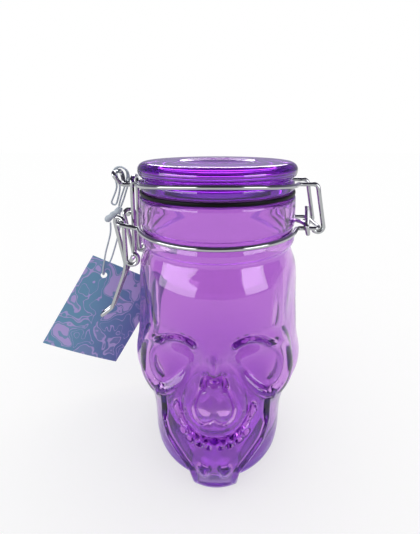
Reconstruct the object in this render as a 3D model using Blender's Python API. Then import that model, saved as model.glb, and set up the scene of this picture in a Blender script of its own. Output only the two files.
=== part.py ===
"""Clip-top storage jar of thick coloured glass, moulded as a skull, with a paper tag on a cord.

The jar stands on z = 0 with its axis on Z. The face looks along -Y, the clasp is at -X and the
hinge at +X. Lengths are in metres.
"""

import math

import bpy
import numpy as np

# Glass jar, from the table up
SKULL_HEIGHT = 0.098
SKULL_BULGE = 0.0021
JAR_FLOOR = 0.007
JAR_WALL = 0.0036
BEAD_RISE = 0.0039
BEAD_HALF_HEIGHT = 0.0022
NECK_WIRE_RISE = 0.0043
RIM_RISE = 0.0149
NECK_RADIUS = 0.0364
NECK_WALL = 0.0042
NECK_ROUNDING = 0.0012
NECK_NOTCH_DEPTH = 0.0022
WIRE_GROOVE_HALF_HEIGHT = 0.0015
WIRE_GROOVE_DEPTH = 0.0007

# Glass lid and gasket, from the jar's rim and neck
LID_GAP = 0.0003
PLUG_PLAY = 0.0037
PLUG_DEPTH = 0.0040
PLUG_CHAMFER = 0.001
PLUG_RIM_WIDTH = 0.0045
PLUG_HOLLOW = 0.0032
GASKET_THICKNESS = 0.002
GASKET_PLAY = 0.0013
GASKET_INSET = 0.0003
LID_BAND_INSET = 0.0007
LID_BAND_HEIGHT = 0.0039
LID_WAIST_DEPTH = 0.0009
LID_WAIST_HEIGHT = 0.0012
LID_FLANGE_OVERHANG = 0.0005
LID_FLANGE_THICKNESS = 0.0072
LID_RECESS_RADIUS = 0.0187
LID_RECESS_DEPTH = 0.0006

# Steel wire and the play between neighbouring wires
WIRE = 0.002
WIRE_PLAY = 0.0003
HOOK_PLAY = 0.0005
WIRE_BEND = 0.0022
TIGHT_BEND = 0.0016

# Hinge, on the right
HINGE_REACH = 0.046
HINGE_LOOP_HALF_WIDTH = 0.0105
HINGE_LEG_HALF_WIDTH = 0.008
HINGE_LEG_LEAN = 0.0034
CUFF_START = 0.0013
CUFF_STEP = 0.0009
STUB_HEIGHT = 0.0088
STUB_LEAN = 0.0037
STUB_OUTWARD = 0.0006
RETURN_LEG_REACH = 0.0392

# Clasp, on the left: reaches are each measured from the link or the bend before, outwards
LINK_PLAY = 0.0004
LINK_FOOT_DROP = 0.015
LINK_PIN_OVERHANG = 0.0014
LINK_SLACK = 0.0012
EYE_PLAY = 0.0008
PIVOT_OFFSET = 0.0055
PIVOT_RISE = 0.0022
PIVOT_PIN_INSET = 0.0014
HANDLE_KNEE_RUN = 0.0037
HANDLE_KNEE_DROP = 0.0037
HANDLE_KNEE_BEND = 0.004
HANDLE_WAIST_RUN = 0.003
HANDLE_WAIST_DROP = 0.008
HANDLE_WAIST_BEND = 0.009
HANDLE_ELBOW_RUN = 0.0064
HANDLE_ELBOW_DROP = 0.0167
HANDLE_ELBOW_BEND = 0.005
HANDLE_TIP_RUN = 0.0046
HANDLE_TIP_DROP = 0.0038
HANDLE_TIP_LANE = 0.0016

# Lid hoop
HOOP_SEAT = 0.0022
HOOP_RISE = 0.0032
NOSE_NARROW_INSET = 0.0009
NOSE_CROOK_RUN = 0.0057
NOSE_TIP_RUN = 0.0026
NOSE_TIP_RISE = 0.0058
NOSE_FLARE = 0.0047
NOSE_ROOT_SPREAD = 0.0021

# Paper tag
TAG_WIDTH = 0.0425
TAG_LENGTH = 0.0535
TAG_THICKNESS = 0.0006
TAG_HOLE_RADIUS = 0.0017
TAG_HOLE_FROM_SIDE = 0.0106
TAG_HOLE_FROM_TOP = 0.0078
TAG_HOLE_PLACE = (-0.0633, 0.017, 0.0709)
TAG_ROLL = math.radians(31)
TAG_YAW = math.radians(18)

# Cord: its points are chosen along the way that it hangs
CORD = 0.0009
KNOT_RADIUS = 0.0019
KNOT_PLACE = (-0.0519, 0.0131, 0.1090)
KNOT_END = (-0.0579, 0.0130, 0.1042)
CORD_LOOP_POINTS = (
    (-0.0519, 0.0131, 0.1110), (-0.0504, 0.0116, 0.1150), (-0.0479, 0.0096, 0.1205),
    (-0.0456, 0.0076, 0.1258), (-0.0449, 0.0066, 0.1286), (-0.0450, 0.0058, 0.1305),
    (-0.0459, 0.0051, 0.1319), (-0.0473, 0.0049, 0.1325), (-0.0486, 0.0049, 0.1323),
    (-0.0496, 0.0052, 0.1313), (-0.0501, 0.0060, 0.1298), (-0.0505, 0.0071, 0.1272),
    (-0.0513, 0.0089, 0.1220), (-0.0523, 0.0109, 0.1165), (-0.0532, 0.0121, 0.1132),
    (-0.0542, 0.0124, 0.1122), (-0.0550, 0.0116, 0.1132), (-0.0545, 0.0102, 0.1170),
    (-0.0532, 0.0084, 0.1225), (-0.0519, 0.0070, 0.1273), (-0.0513, 0.0061, 0.1296),
    (-0.0503, 0.0046, 0.1315), (-0.0489, 0.0038, 0.1324), (-0.0472, 0.0037, 0.1326),
    (-0.0455, 0.0040, 0.1319), (-0.0444, 0.0051, 0.1305), (-0.0441, 0.0064, 0.1284),
    (-0.0447, 0.0080, 0.1248), (-0.0469, 0.0101, 0.1195), (-0.0490, 0.0122, 0.1148),
    (-0.0510, 0.0137, 0.1108),
)
CORD_DROP_POINTS = (
    (-0.0571, 0.0141, 0.1019), (-0.0576, 0.0147, 0.0965), (-0.0593, 0.0150, 0.0902),
    (-0.0609, 0.0152, 0.0850), (-0.0620, 0.0153, 0.0800), (-0.0630, 0.0154, 0.0747),
    (-0.0634, 0.0160, 0.0720), (-0.0635, 0.0170, 0.0713), (-0.0633, 0.0180, 0.0720),
    (-0.0623, 0.0190, 0.0740), (-0.0602, 0.0195, 0.0782), (-0.0574, 0.0184, 0.0851),
    (-0.0555, 0.0176, 0.0905), (-0.0539, 0.0168, 0.0955), (-0.0525, 0.0160, 0.1015),
    (-0.0520, 0.0141, 0.1069),
)

# Knot: (share of its length, share of its radius)
KNOT_SHARES = (
    (0.01, 0.30), (0.07, 0.75), (0.17, 0.92), (0.28, 0.85), (0.37, 0.68), (0.45, 0.82),
    (0.55, 0.95), (0.64, 0.80), (0.72, 0.85), (0.82, 1.00), (0.93, 0.78), (0.99, 0.30),
)

# Outline of the skull's back and sides: (share of the skull's height, share of its radius)
SIDE_OUTLINE_SHARES = (
    (0.000, 0.765), (0.012, 0.792), (0.040, 0.808), (0.110, 0.818), (0.200, 0.832),
    (0.300, 0.870), (0.400, 0.940), (0.500, 0.978), (0.610, 1.000), (0.740, 1.003),
    (0.840, 0.995), (0.915, 0.965), (0.965, 0.918), (1.000, 0.888),
)
# Middle of the face: (share of height, forward share, turn at which it ends)
JAW_OUTLINE_SHARES = (
    (0.000, 0.075, 0.310), (0.050, 0.108, 0.310), (0.085, 0.132, 0.320), (0.125, 0.150, 0.370),
    (0.170, 0.155, 0.490), (0.220, 0.145, 0.650), (0.290, 0.110, 0.710), (0.370, 0.045, 0.710),
    (0.460, 0.010, 0.710), (0.560, 0.000, 0.700), (0.680, 0.020, 0.700), (0.780, 0.035, 0.710),
    (0.900, 0.025, 0.730), (1.000, 0.000, 0.740),
)
# Face of the skull. Turns are in radians from the face's middle, heights and rises are
# shares of the skull's radius. A plate is (rise, lower edge, upper edge, outline), a stroke is
# (rise, half width, route) and a mound is (turn, height, half width, half height, rise).
FACE_PLATES_SHARES = (
    (0.048, 0.030, 0.090, ((0.16, 1.80), (0.50, 1.88), (0.82, 1.86), (1.02, 1.62), (1.11, 1.28),
                           (1.07, 1.04), (0.88, 0.93), (0.66, 0.97), (0.45, 1.12), (0.27, 1.30),
                           (0.14, 1.50))),
    (-0.155, 0.125, 0.105, ((0.16, 1.77), (0.36, 1.85), (0.56, 1.83), (0.76, 1.70), (0.93, 1.50),
                            (0.97, 1.26), (0.86, 1.07), (0.62, 1.06), (0.38, 1.22),
                            (0.20, 1.43))),
    (-0.085, 0.030, 0.014, ((0.00, 1.47), (0.10, 1.45), (0.15, 1.36), (0.175, 1.25),
                            (0.205, 1.15), (0.19, 1.04), (0.11, 0.98), (0.00, 1.02),
                            (-0.11, 0.98), (-0.19, 1.04), (-0.205, 1.15), (-0.175, 1.25),
                            (-0.15, 1.36), (-0.10, 1.45))),
    (0.056, 0.022, 0.110, ((0.00, 1.60), (0.26, 1.50), (0.345, 1.30), (0.365, 1.02),
                           (0.300, 0.88), (0.16, 0.800), (0.00, 0.780), (-0.16, 0.800),
                           (-0.300, 0.88), (-0.365, 1.02), (-0.345, 1.30), (-0.26, 1.50))),
)
FACE_STROKES_SHARES = (
    (-0.088, 0.031, ((0.20, 1.775), (0.29, 1.80), (0.41, 1.80), (0.53, 1.75), (0.64, 1.675))),
    (0.022, 0.050, ((0.14, 1.86), (0.27, 1.89), (0.44, 1.89), (0.60, 1.84), (0.76, 1.74))),
    (0.036, 0.055, ((0.00, 1.72), (0.00, 1.48))),
    (-0.050, 0.020, ((0.12, 1.36), (0.08, 1.425), (0.00, 1.435), (-0.08, 1.425), (-0.12, 1.36))),
    (-0.045, 0.020, ((0.395, 1.18), (0.375, 0.99), (0.30, 0.870), (0.15, 0.790), (0.00, 0.770))),
    (0.032, 0.022, ((0.45, 1.18), (0.42, 0.95), (0.32, 0.810), (0.16, 0.740), (0.00, 0.725))),
    (-0.035, 0.020, ((0.475, 1.16), (0.455, 0.96))),
    (-0.080, 0.030, ((0.610, 1.04), (0.600, 0.80))),
    (-0.030, 0.030, ((0.53, 1.02), (0.53, 0.92))),
    (0.026, 0.028, ((0.23, 0.10), (0.26, 0.30), (0.39, 0.45), (0.55, 0.60), (0.63, 0.78))),
)
FACE_MOUNDS_SHARES = (
    (0.000, 1.180, 0.110, 0.140, 0.075),
    (1.150, 1.950, 0.280, 0.340, -0.055),
    (1.550, 1.020, 0.450, 0.330, 0.105),
    (0.130, 0.270, 0.050, 0.080, 0.034),
    (0.000, 0.225, 0.080, 0.032, -0.034),
    (0.000, 0.040, 0.260, 0.040, 0.020),
)
TEETH_ROUTE_SHARES = ((0.00, 0.655), (0.17, 0.677), (0.28, 0.735), (0.37, 0.83), (0.42, 0.92))
TEETH_GAP_SHARE = 0.105
TEETH_DEPTH_SHARE = 0.095
TEETH_HALF_HEIGHT_SHARE = 0.050
JAW_EDGE_SHARE = 0.045
INNER_FOLLOW_SHARE = 0.8
FACE_TURN = math.radians(-2)

# Fineness of the meshes
SKULL_COLUMNS = 80
SKULL_ROWS = 42
INNER_ROWS = 11
TURNED_STEPS = 48
RING_STEPS = 44
BEND_STEP = math.radians(28)
WIRE_SIDE_STEPS = 2

GLASS_COLOUR = (0.33, 0.09, 0.62, 1.0)
STEEL_COLOUR = (0.72, 0.72, 0.74, 1.0)
RUBBER_COLOUR = (0.02, 0.02, 0.022, 1.0)
PAPER_COLOUR = (0.11, 0.27, 0.47, 1.0)
CORD_COLOUR = (0.55, 0.56, 0.62, 1.0)

# Places that follow from the sizes above
LANE = WIRE + WIRE_PLAY
NOSE_LANE = LANE
LINK_LANE = 2 * LANE
HANDLE_LANE = 3 * LANE
ARM_LANE = 4 * LANE
LEG_LANE = 5 * LANE
SKULL_RADIUS = NECK_RADIUS + SKULL_BULGE
RING_RADIUS = NECK_RADIUS + WIRE / 2 - WIRE_PLAY
BEAD_HEIGHT = SKULL_HEIGHT + BEAD_RISE
NECK_WIRE_HEIGHT = BEAD_HEIGHT + NECK_WIRE_RISE
JAR_RIM_HEIGHT = NECK_WIRE_HEIGHT + RIM_RISE
NECK_BORE_RADIUS = NECK_RADIUS - NECK_WALL
NECK_NOTCH_RADIUS = NECK_RADIUS - NECK_NOTCH_DEPTH
PLUG_RADIUS = NECK_BORE_RADIUS - PLUG_PLAY
GASKET_BORE_RADIUS = PLUG_RADIUS + GASKET_PLAY
GASKET_RADIUS = NECK_RADIUS - GASKET_INSET
GASKET_BOTTOM = JAR_RIM_HEIGHT + LID_GAP
LID_BAND_RADIUS = NECK_RADIUS - LID_BAND_INSET
LID_FLANGE_RADIUS = NECK_RADIUS + LID_FLANGE_OVERHANG
LID_BOTTOM = GASKET_BOTTOM + GASKET_THICKNESS + LID_GAP
LID_FLANGE_MIDDLE = LID_BOTTOM + LID_BAND_HEIGHT + LID_WAIST_HEIGHT + LID_FLANGE_THICKNESS / 2
LINK_REACH = RING_RADIUS + WIRE + LINK_PLAY
LINK_FOOT_HEIGHT = NECK_WIRE_HEIGHT - LINK_FOOT_DROP
FOOT = (-LINK_REACH, LINK_FOOT_HEIGHT)
PIVOT = (-LINK_REACH - PIVOT_OFFSET, NECK_WIRE_HEIGHT + PIVOT_RISE)
HANDLE_KNEE_REACH = LINK_REACH + HANDLE_KNEE_RUN
HANDLE_KNEE_HEIGHT = LINK_FOOT_HEIGHT - HANDLE_KNEE_DROP
HANDLE_WAIST_REACH = HANDLE_KNEE_REACH + HANDLE_WAIST_RUN
HANDLE_WAIST_HEIGHT = HANDLE_KNEE_HEIGHT - HANDLE_WAIST_DROP
HANDLE_ELBOW_REACH = HANDLE_WAIST_REACH + HANDLE_ELBOW_RUN
HANDLE_ELBOW_HEIGHT = HANDLE_WAIST_HEIGHT - HANDLE_ELBOW_DROP
HANDLE_TIP_REACH = HANDLE_ELBOW_REACH + HANDLE_TIP_RUN
HANDLE_TIP_HEIGHT = HANDLE_ELBOW_HEIGHT - HANDLE_TIP_DROP
HOOP_SIDE_HEIGHT = LID_BOTTOM + HOOP_SEAT
CROOK_HEIGHT = HOOP_SIDE_HEIGHT - WIRE / 2
NOSE_NARROW_REACH = LINK_REACH - NOSE_NARROW_INSET
NOSE_CROOK_REACH = LINK_REACH + NOSE_CROOK_RUN
NOSE_TIP_REACH = NOSE_CROOK_REACH + NOSE_TIP_RUN


def material(name, colour, metallic, roughness, transmission=0.0):
    """A Principled material with plain values."""
    made = bpy.data.materials.new(name)
    made.use_nodes = True
    shader = made.node_tree.nodes["Principled BSDF"]
    shader.inputs["Base Color"].default_value = colour
    shader.inputs["Metallic"].default_value = metallic
    shader.inputs["Roughness"].default_value = roughness
    shader.inputs["Transmission Weight"].default_value = transmission
    made.diffuse_color = colour
    return made


def add_object(name, data, finish, origin=(0.0, 0.0, 0.0)):
    """Links an object, with its material, at the point that it turns about."""
    data.materials.append(finish)
    made = bpy.data.objects.new(name, data)
    made.location = origin
    bpy.context.scene.collection.objects.link(made)
    return made


def mesh_from(name, points, faces, origin=(0.0, 0.0, 0.0)):
    """A mesh from world points, kept relative to the object's origin."""
    mesh = bpy.data.meshes.new(name)
    mesh.from_pydata((np.asarray(points) - np.asarray(origin)).tolist(), [], faces)
    mesh.update()
    mesh.shade_smooth()
    mesh.set_sharp_from_angle(angle=math.radians(50))
    return mesh


def smooth_between(table, places):
    """Cubic curve through the rows of a table, eased so that it never overshoots a row."""
    table = np.asarray(table)
    x = table[:, 0]
    out = []
    for column in table[:, 1:].T:
        slope = np.gradient(column, x)
        rise = np.diff(column) / np.diff(x)
        turning = np.r_[False, rise[1:] * rise[:-1] <= 0, False]
        slope[turning] = 0.0
        cell = np.clip(np.searchsorted(x, places, side="right") - 1, 0, len(x) - 2)
        width = x[cell + 1] - x[cell]
        t = np.clip((places - x[cell]) / width, 0.0, 1.0)
        out.append(
            column[cell] * (1 + 2 * t) * (1 - t) ** 2
            + slope[cell] * width * t * (1 - t) ** 2
            + column[cell + 1] * t * t * (3 - 2 * t)
            - slope[cell + 1] * width * t * t * (1 - t)
        )
    return out


def to_route(turn, height, route):
    """Distance to the nearest point of a route over the surface, and how far along that is."""
    nearest = np.full(turn.shape, np.inf)
    along = np.zeros(turn.shape)
    walked = 0.0
    for start, end in zip(route[:-1], route[1:]):
        step_x = end[0] - start[0]
        step_y = end[1] - start[1]
        length = math.hypot(step_x, step_y)
        share = ((turn - start[0]) * step_x + (height - start[1]) * step_y) / length**2
        share = np.clip(share, 0.0, 1.0)
        gap = np.hypot(turn - start[0] - share * step_x, height - start[1] - share * step_y)
        along = np.where(gap < nearest, walked + share * length, along)
        nearest = np.minimum(gap, nearest)
        walked += length
    return nearest, along


def within(turn, height, outline):
    """Distance inside a closed outline, negative outside it."""
    closed = np.array(outline)
    for _ in range(2):
        after = np.roll(closed, -1, axis=0)
        pairs = np.stack([closed * 0.75 + after * 0.25, closed * 0.25 + after * 0.75], axis=1)
        closed = pairs.reshape(-1, 2)
    closed = np.concatenate([closed, closed[:1]])
    gap, _ = to_route(turn, height, closed)
    inside = np.zeros(turn.shape, bool)
    for start, end in zip(closed[:-1], closed[1:]):
        if start[1] != end[1]:
            cross = start[0] + (height - start[1]) * (end[0] - start[0]) / (end[1] - start[1])
            inside ^= ((height < start[1]) != (height < end[1])) & (turn < cross)
    return np.where(inside, gap, -gap)


def soft_step(value):
    """Zero below -1, one above 1, smooth between."""
    t = np.clip((value + 1) / 2, 0.0, 1.0)
    return t * t * (3 - 2 * t)


def broad_relief(turn, height):
    """Orbits, cheekbones, nose and upper jaw: plates with soft edges, and mounds."""
    side = np.abs(turn)
    rise = np.zeros_like(turn)
    for amount, lower, upper, outline in FACE_PLATES_SHARES:
        heights = [point[1] for point in outline]
        upward = (height - min(heights)) / (max(heights) - min(heights))
        edge = lower + (upper - lower) * soft_step(2 * upward - 1)
        depth = within(side, height, outline)
        rise = rise + amount * soft_step(depth / edge - 1)
    for place, level, half_width, half_height, amount in FACE_MOUNDS_SHARES:
        across = (side - place) / half_width
        up = (height - level) / half_height
        rise = rise + amount * np.exp(-((across * across + up * up) ** 1.2))
    return rise


def fine_relief(turn, height):
    """Creases and ridges along routes, and the gaps of the lower row of teeth."""
    side = np.abs(turn)
    rise = np.zeros_like(turn)
    for amount, half_width, route in FACE_STROKES_SHARES:
        gap, _ = to_route(side, height, route)
        rise = rise + amount * np.exp(-((gap / half_width) ** 2))
    gap, along = to_route(side, height, TEETH_ROUTE_SHARES)
    between = np.abs(np.sin(math.pi * along / TEETH_GAP_SHARE)) ** 1.5
    dent = np.exp(-((gap / TEETH_HALF_HEIGHT_SHARE) ** 4))
    return rise - TEETH_DEPTH_SHARE * between * dent * soft_step((side - TEETH_GAP_SHARE) * 12)


def skull_radius(turn, height, inside=False):
    """Distance of the skull's surface from the axis. turn is the angle from the face's middle."""
    level = height / SKULL_HEIGHT
    rise = height / SKULL_RADIUS
    (side,) = smooth_between(SIDE_OUTLINE_SHARES, level)
    forward, spread = smooth_between(JAW_OUTLINE_SHARES, level)
    edge = JAW_EDGE_SHARE * (1 + 1.5 * soft_step((level - 0.7) / 0.1))
    front = forward * soft_step((spread - np.abs(turn)) / edge)
    front = front * np.cos(np.clip(turn, -1.5, 1.5)) ** 0.5
    broad = front + broad_relief(turn, rise)
    if inside:
        return SKULL_RADIUS * (side + INNER_FOLLOW_SHARE * broad) - JAR_WALL
    return SKULL_RADIUS * (side + broad + fine_relief(turn, rise))


def neck_profile():
    """Radius and height from the skull's top to the rim: notch, bead, wire groove, neck, rim."""
    groove = NECK_RADIUS - WIRE_GROOVE_DEPTH
    bead_low = BEAD_HEIGHT - BEAD_HALF_HEIGHT
    bead_high = BEAD_HEIGHT + BEAD_HALF_HEIGHT
    groove_high = NECK_WIRE_HEIGHT + WIRE_GROOVE_HALF_HEIGHT
    edge = NECK_ROUNDING
    return (
        (NECK_NOTCH_RADIUS + edge / 2, bead_low - edge / 4),
        (NECK_RADIUS - edge / 4, bead_low + edge / 2),
        (NECK_RADIUS, BEAD_HEIGHT),
        (NECK_RADIUS - edge / 4, bead_high - edge / 2),
        (groove, NECK_WIRE_HEIGHT - WIRE_GROOVE_HALF_HEIGHT),
        (groove, groove_high),
        (NECK_RADIUS - edge / 4, groove_high + edge / 2),
        (NECK_RADIUS, groove_high + edge),
        (NECK_RADIUS, JAR_RIM_HEIGHT - edge),
        (NECK_RADIUS - edge / 3, JAR_RIM_HEIGHT - edge / 3),
        (NECK_RADIUS - edge, JAR_RIM_HEIGHT),
        (NECK_BORE_RADIUS + edge, JAR_RIM_HEIGHT),
        (NECK_BORE_RADIUS, JAR_RIM_HEIGHT - edge),
        (NECK_BORE_RADIUS, BEAD_HEIGHT),
    )


def jar_body(finish):
    """Jar: the skull outside, the neck, then the inner wall down to the floor, as one grid."""
    t = np.arange(SKULL_COLUMNS) * 2 / SKULL_COLUMNS - 1 + 1 / SKULL_COLUMNS
    turn = math.pi * (0.42 * t + 0.58 * t**3)
    edge = SKULL_HEIGHT * SIDE_OUTLINE_SHARES[1][0]
    outer = np.r_[0.0, np.linspace(edge, SKULL_HEIGHT, SKULL_ROWS)]
    inner = np.linspace(SKULL_HEIGHT, JAR_FLOOR, INNER_ROWS)
    radii = [skull_radius(turn, np.full_like(turn, z)) for z in outer]
    heights = list(outer)
    for radius, z in neck_profile():
        radii.append(np.full_like(turn, radius))
        heights.append(z)
    for z in inner:
        radii.append(skull_radius(turn, np.full_like(turn, z), inside=True))
        heights.append(z)
    radii[-1] = radii[-1] - JAR_WALL / 2
    heights[-2] = JAR_FLOOR + JAR_WALL / 2
    radii[-2] = skull_radius(turn, np.full_like(turn, heights[-2]), inside=True)
    points = []
    for radius, z in zip(radii, heights):
        x = radius * np.sin(turn + FACE_TURN)
        y = -radius * np.cos(turn + FACE_TURN)
        points.append(np.c_[x, y, np.full_like(x, z)])
    return add_object("jar_body", mesh_from("jar_body", *capped_grid(points)), finish)


def capped_grid(rings):
    """Points and faces of stacked closed rings, the first and the last of them filled."""
    count = len(rings[0])
    faces = [list(range(count))[::-1]]
    for row in range(len(rings) - 1):
        low = row * count
        for column in range(count):
            after = (column + 1) % count
            high = low + count
            faces.append([low + column, low + after, high + after, high + column])
    top = (len(rings) - 1) * count
    faces.append([top + column for column in range(count)])
    return np.concatenate(rings), faces


def turned(name, profile, finish):
    """A solid turned about Z from a closed profile of (radius, height), outer side downwards."""
    turn = np.arange(TURNED_STEPS) * math.tau / TURNED_STEPS
    count = len(profile)
    points = []
    faces = []
    for radius, z in profile:
        points.append(np.c_[radius * np.cos(turn), radius * np.sin(turn), np.full_like(turn, z)])
    for row in range(count):
        low = row * TURNED_STEPS
        high = (row + 1) % count * TURNED_STEPS
        for column in range(TURNED_STEPS):
            after = (column + 1) % TURNED_STEPS
            faces.append([low + column, high + column, high + after, low + after])
    return add_object(name, mesh_from(name, np.concatenate(points), faces), finish)


def lid_glass(finish):
    """Lid: a shallow recess on top, a rounded flange, a waist for the hoop, a band and a plug."""
    top = LID_FLANGE_MIDDLE + LID_FLANGE_THICKNESS / 2
    round_radius = LID_FLANGE_THICKNESS / 2
    centre = LID_FLANGE_RADIUS - round_radius
    waist = LID_BOTTOM + LID_BAND_HEIGHT + LID_WAIST_HEIGHT / 2
    rounding = LID_WAIST_DEPTH / 2
    rings = [
        (LID_RECESS_RADIUS - LID_RECESS_DEPTH, top - LID_RECESS_DEPTH),
        (LID_RECESS_RADIUS, top),
    ]
    for step in range(8):
        angle = math.radians(90 - 22 * step)
        rings.append(
            (
                centre + round_radius * math.cos(angle),
                LID_FLANGE_MIDDLE + round_radius * math.sin(angle),
            )
        )
    rings += [
        (LID_BAND_RADIUS - LID_WAIST_DEPTH, waist),
        (LID_BAND_RADIUS - rounding / 2, LID_BOTTOM + LID_BAND_HEIGHT - rounding / 2),
        (LID_BAND_RADIUS, LID_BOTTOM + LID_BAND_HEIGHT - 2 * rounding),
        (LID_BAND_RADIUS, LID_BOTTOM + rounding),
        (LID_BAND_RADIUS - rounding, LID_BOTTOM),
        (PLUG_RADIUS + rounding, LID_BOTTOM),
        (PLUG_RADIUS, LID_BOTTOM - rounding),
        (PLUG_RADIUS, GASKET_BOTTOM - PLUG_DEPTH + PLUG_CHAMFER),
        (PLUG_RADIUS - PLUG_CHAMFER, GASKET_BOTTOM - PLUG_DEPTH),
        (PLUG_RADIUS - PLUG_RIM_WIDTH, GASKET_BOTTOM - PLUG_DEPTH),
        (PLUG_RADIUS - PLUG_RIM_WIDTH - PLUG_HOLLOW, GASKET_BOTTOM - PLUG_DEPTH + PLUG_HOLLOW),
    ]
    turn = np.arange(TURNED_STEPS) * math.tau / TURNED_STEPS
    points = [np.c_[r * np.cos(turn), r * np.sin(turn), np.full_like(turn, z)] for r, z in rings[::-1]]
    mesh = mesh_from("lid_glass", *capped_grid(points), origin=hinge_origin())
    return add_object("lid_glass", mesh, finish, hinge_origin())


def hinge_origin():
    """Middle of the bar that the lid turns about."""
    return (HINGE_REACH, 0.0, NECK_WIRE_HEIGHT)


def gasket(finish):
    """Flat rubber ring between the rim and the lid, with rounded outer corners."""
    low = GASKET_BOTTOM
    high = GASKET_BOTTOM + GASKET_THICKNESS
    edge = GASKET_THICKNESS / 5
    profile = (
        (GASKET_BORE_RADIUS, high),
        (GASKET_RADIUS - edge, high),
        (GASKET_RADIUS, high - edge),
        (GASKET_RADIUS, low + edge),
        (GASKET_RADIUS - edge, low),
        (GASKET_BORE_RADIUS, low),
    )
    return turned("lid_gasket", profile, finish)


def bent(stations):
    """Points of a wire through corners (x, y, z, bend radius). A radius of 0 keeps the point."""
    places = [np.array(station[:3]) for station in stations]
    out = [places[0]]
    for index in range(1, len(stations) - 1):
        radius = stations[index][3]
        here = places[index]
        into = here - places[index - 1]
        away = places[index + 1] - here
        into /= np.linalg.norm(into)
        away /= np.linalg.norm(away)
        angle = math.acos(np.clip(into @ away, -1.0, 1.0))
        if not radius or angle < BEND_STEP / 4:
            out.append(here)
            continue
        start = here - into * radius * math.tan(angle / 2)
        inward = away - into * (into @ away)
        inward /= np.linalg.norm(inward)
        centre = start + inward * radius
        count = max(2, math.ceil(angle / BEND_STEP))
        for step in range(count + 1):
            swept = angle * step / count
            out.append(centre + radius * (into * math.sin(swept) - inward * math.cos(swept)))
    out.append(places[-1])
    return out


def tube(name, points, thickness, finish, origin=(0.0, 0.0, 0.0), closed=False):
    """A round wire or cord as a curve with a bevel, its ends filled."""
    curve = bpy.data.curves.new(name, "CURVE")
    curve.dimensions = "3D"
    curve.bevel_depth = thickness / 2
    curve.bevel_resolution = round(WIRE_SIDE_STEPS)
    curve.use_fill_caps = not closed
    spline = curve.splines.new("POLY")
    spline.points.add(len(points) - 1)
    spline.use_cyclic_u = closed
    spline.use_smooth = True
    for point, place in zip(spline.points, points):
        point.co = (*(np.asarray(place) - np.asarray(origin)), 1.0)
    return add_object(name, curve, finish, origin)


def arc(centre, radius, start, end, lane_start, lane_end):
    """Stations of an arc in an upright plane, which may drift sideways from lane to lane."""
    count = max(2, math.ceil(abs(end - start) / BEND_STEP))
    out = []
    for step in range(count + 1):
        share = step / count
        angle = start + (end - start) * share
        eased = share * share * (3 - 2 * share)
        lane = lane_start + (lane_end - lane_start) * eased
        x = centre[0] + radius * math.cos(angle)
        z = centre[1] + radius * math.sin(angle)
        out.append((x, lane, z, 0.0))
    return out


def ring(start, end, height, rise):
    """Stations round the neck, from one angle to another, higher at the front and the back."""
    out = []
    count = math.ceil(abs(end - start) / math.tau * RING_STEPS)
    for step in range(count + 1):
        angle = start + (end - start) * step / count
        z = height + rise * math.sin(angle) ** 2
        out.append((RING_RADIUS * math.cos(angle), -RING_RADIUS * math.sin(angle), z, 0.0))
    return out


def leave_angle(half_width):
    """Angle on the ring at which a leg of the given half width turns off, past its bend."""
    return math.asin(half_width / RING_RADIUS) + 1.3 * WIRE_BEND / RING_RADIUS


def mirrored(stations):
    """The same stations on the other side of the plane y = 0, in the opposite order."""
    return [(x, -y, z, radius) for x, y, z, radius in reversed(stations)]


def ring_foot(half_width):
    """Distance from the axis at which the ring reaches a half width."""
    return math.sqrt(RING_RADIUS**2 - half_width**2)


def lid_hoop(finish):
    """Hoop round the lid: hinge hooks at the right, an upturned nose for the clasp at the left."""
    hook = WIRE + HOOK_PLAY
    centre = (HINGE_REACH, NECK_WIRE_HEIGHT)
    leg = HINGE_LEG_HALF_WIDTH
    root = NOSE_LANE + NOSE_ROOT_SPREAD
    side = HOOP_SIDE_HEIGHT
    tip = NOSE_LANE + NOSE_FLARE
    half = arc(centre, hook, math.radians(-150), 0.0, -leg, -leg)
    half += [
        (HINGE_REACH + hook - HINGE_LEG_LEAN, -leg, side, WIRE_BEND),
        (ring_foot(leg), -leg, side, WIRE_BEND),
    ]
    half += ring(leave_angle(leg), math.pi - leave_angle(root), side, HOOP_RISE)
    half += [
        (-ring_foot(root), -root, side, TIGHT_BEND),
        (-NOSE_NARROW_REACH, -NOSE_LANE, CROOK_HEIGHT, WIRE_BEND),
        (-NOSE_CROOK_REACH, -NOSE_LANE, CROOK_HEIGHT, WIRE_BEND),
        (-NOSE_TIP_REACH, -tip, CROOK_HEIGHT + NOSE_TIP_RISE, TIGHT_BEND),
    ]
    return tube("lid_hoop", bent(half + mirrored(half)), WIRE, finish, hinge_origin())


def pivot_pin(side):
    """Clasp end of a neck wire: the pin that the lever turns on, and its leg. side is -1 or 1."""
    return [
        (PIVOT[0], side * (HANDLE_LANE - PIVOT_PIN_INSET + WIRE_PLAY), PIVOT[1], 0.0),
        (PIVOT[0], side * LEG_LANE, PIVOT[1], TIGHT_BEND),
        (-ring_foot(LEG_LANE), side * LEG_LANE, NECK_WIRE_HEIGHT, TIGHT_BEND),
    ]


def neck_wire_front(finish):
    """Front neck wire: pivot pin, the front half round the neck, then the hinge's bar and back."""
    z = NECK_WIRE_HEIGHT
    loop = HINGE_LOOP_HALF_WIDTH
    half = pivot_pin(-1)
    half += ring(math.pi - leave_angle(LEG_LANE), leave_angle(loop), z, 0.0)
    half += [
        (ring_foot(loop), -loop, z, WIRE_BEND),
        (HINGE_REACH, -loop, z, WIRE_BEND),
        (HINGE_REACH, loop, z, WIRE_BEND),
        (RETURN_LEG_REACH, loop, z, 0.0),
    ]
    return tube("neck_wire_front", bent(half), WIRE, finish)


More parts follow.
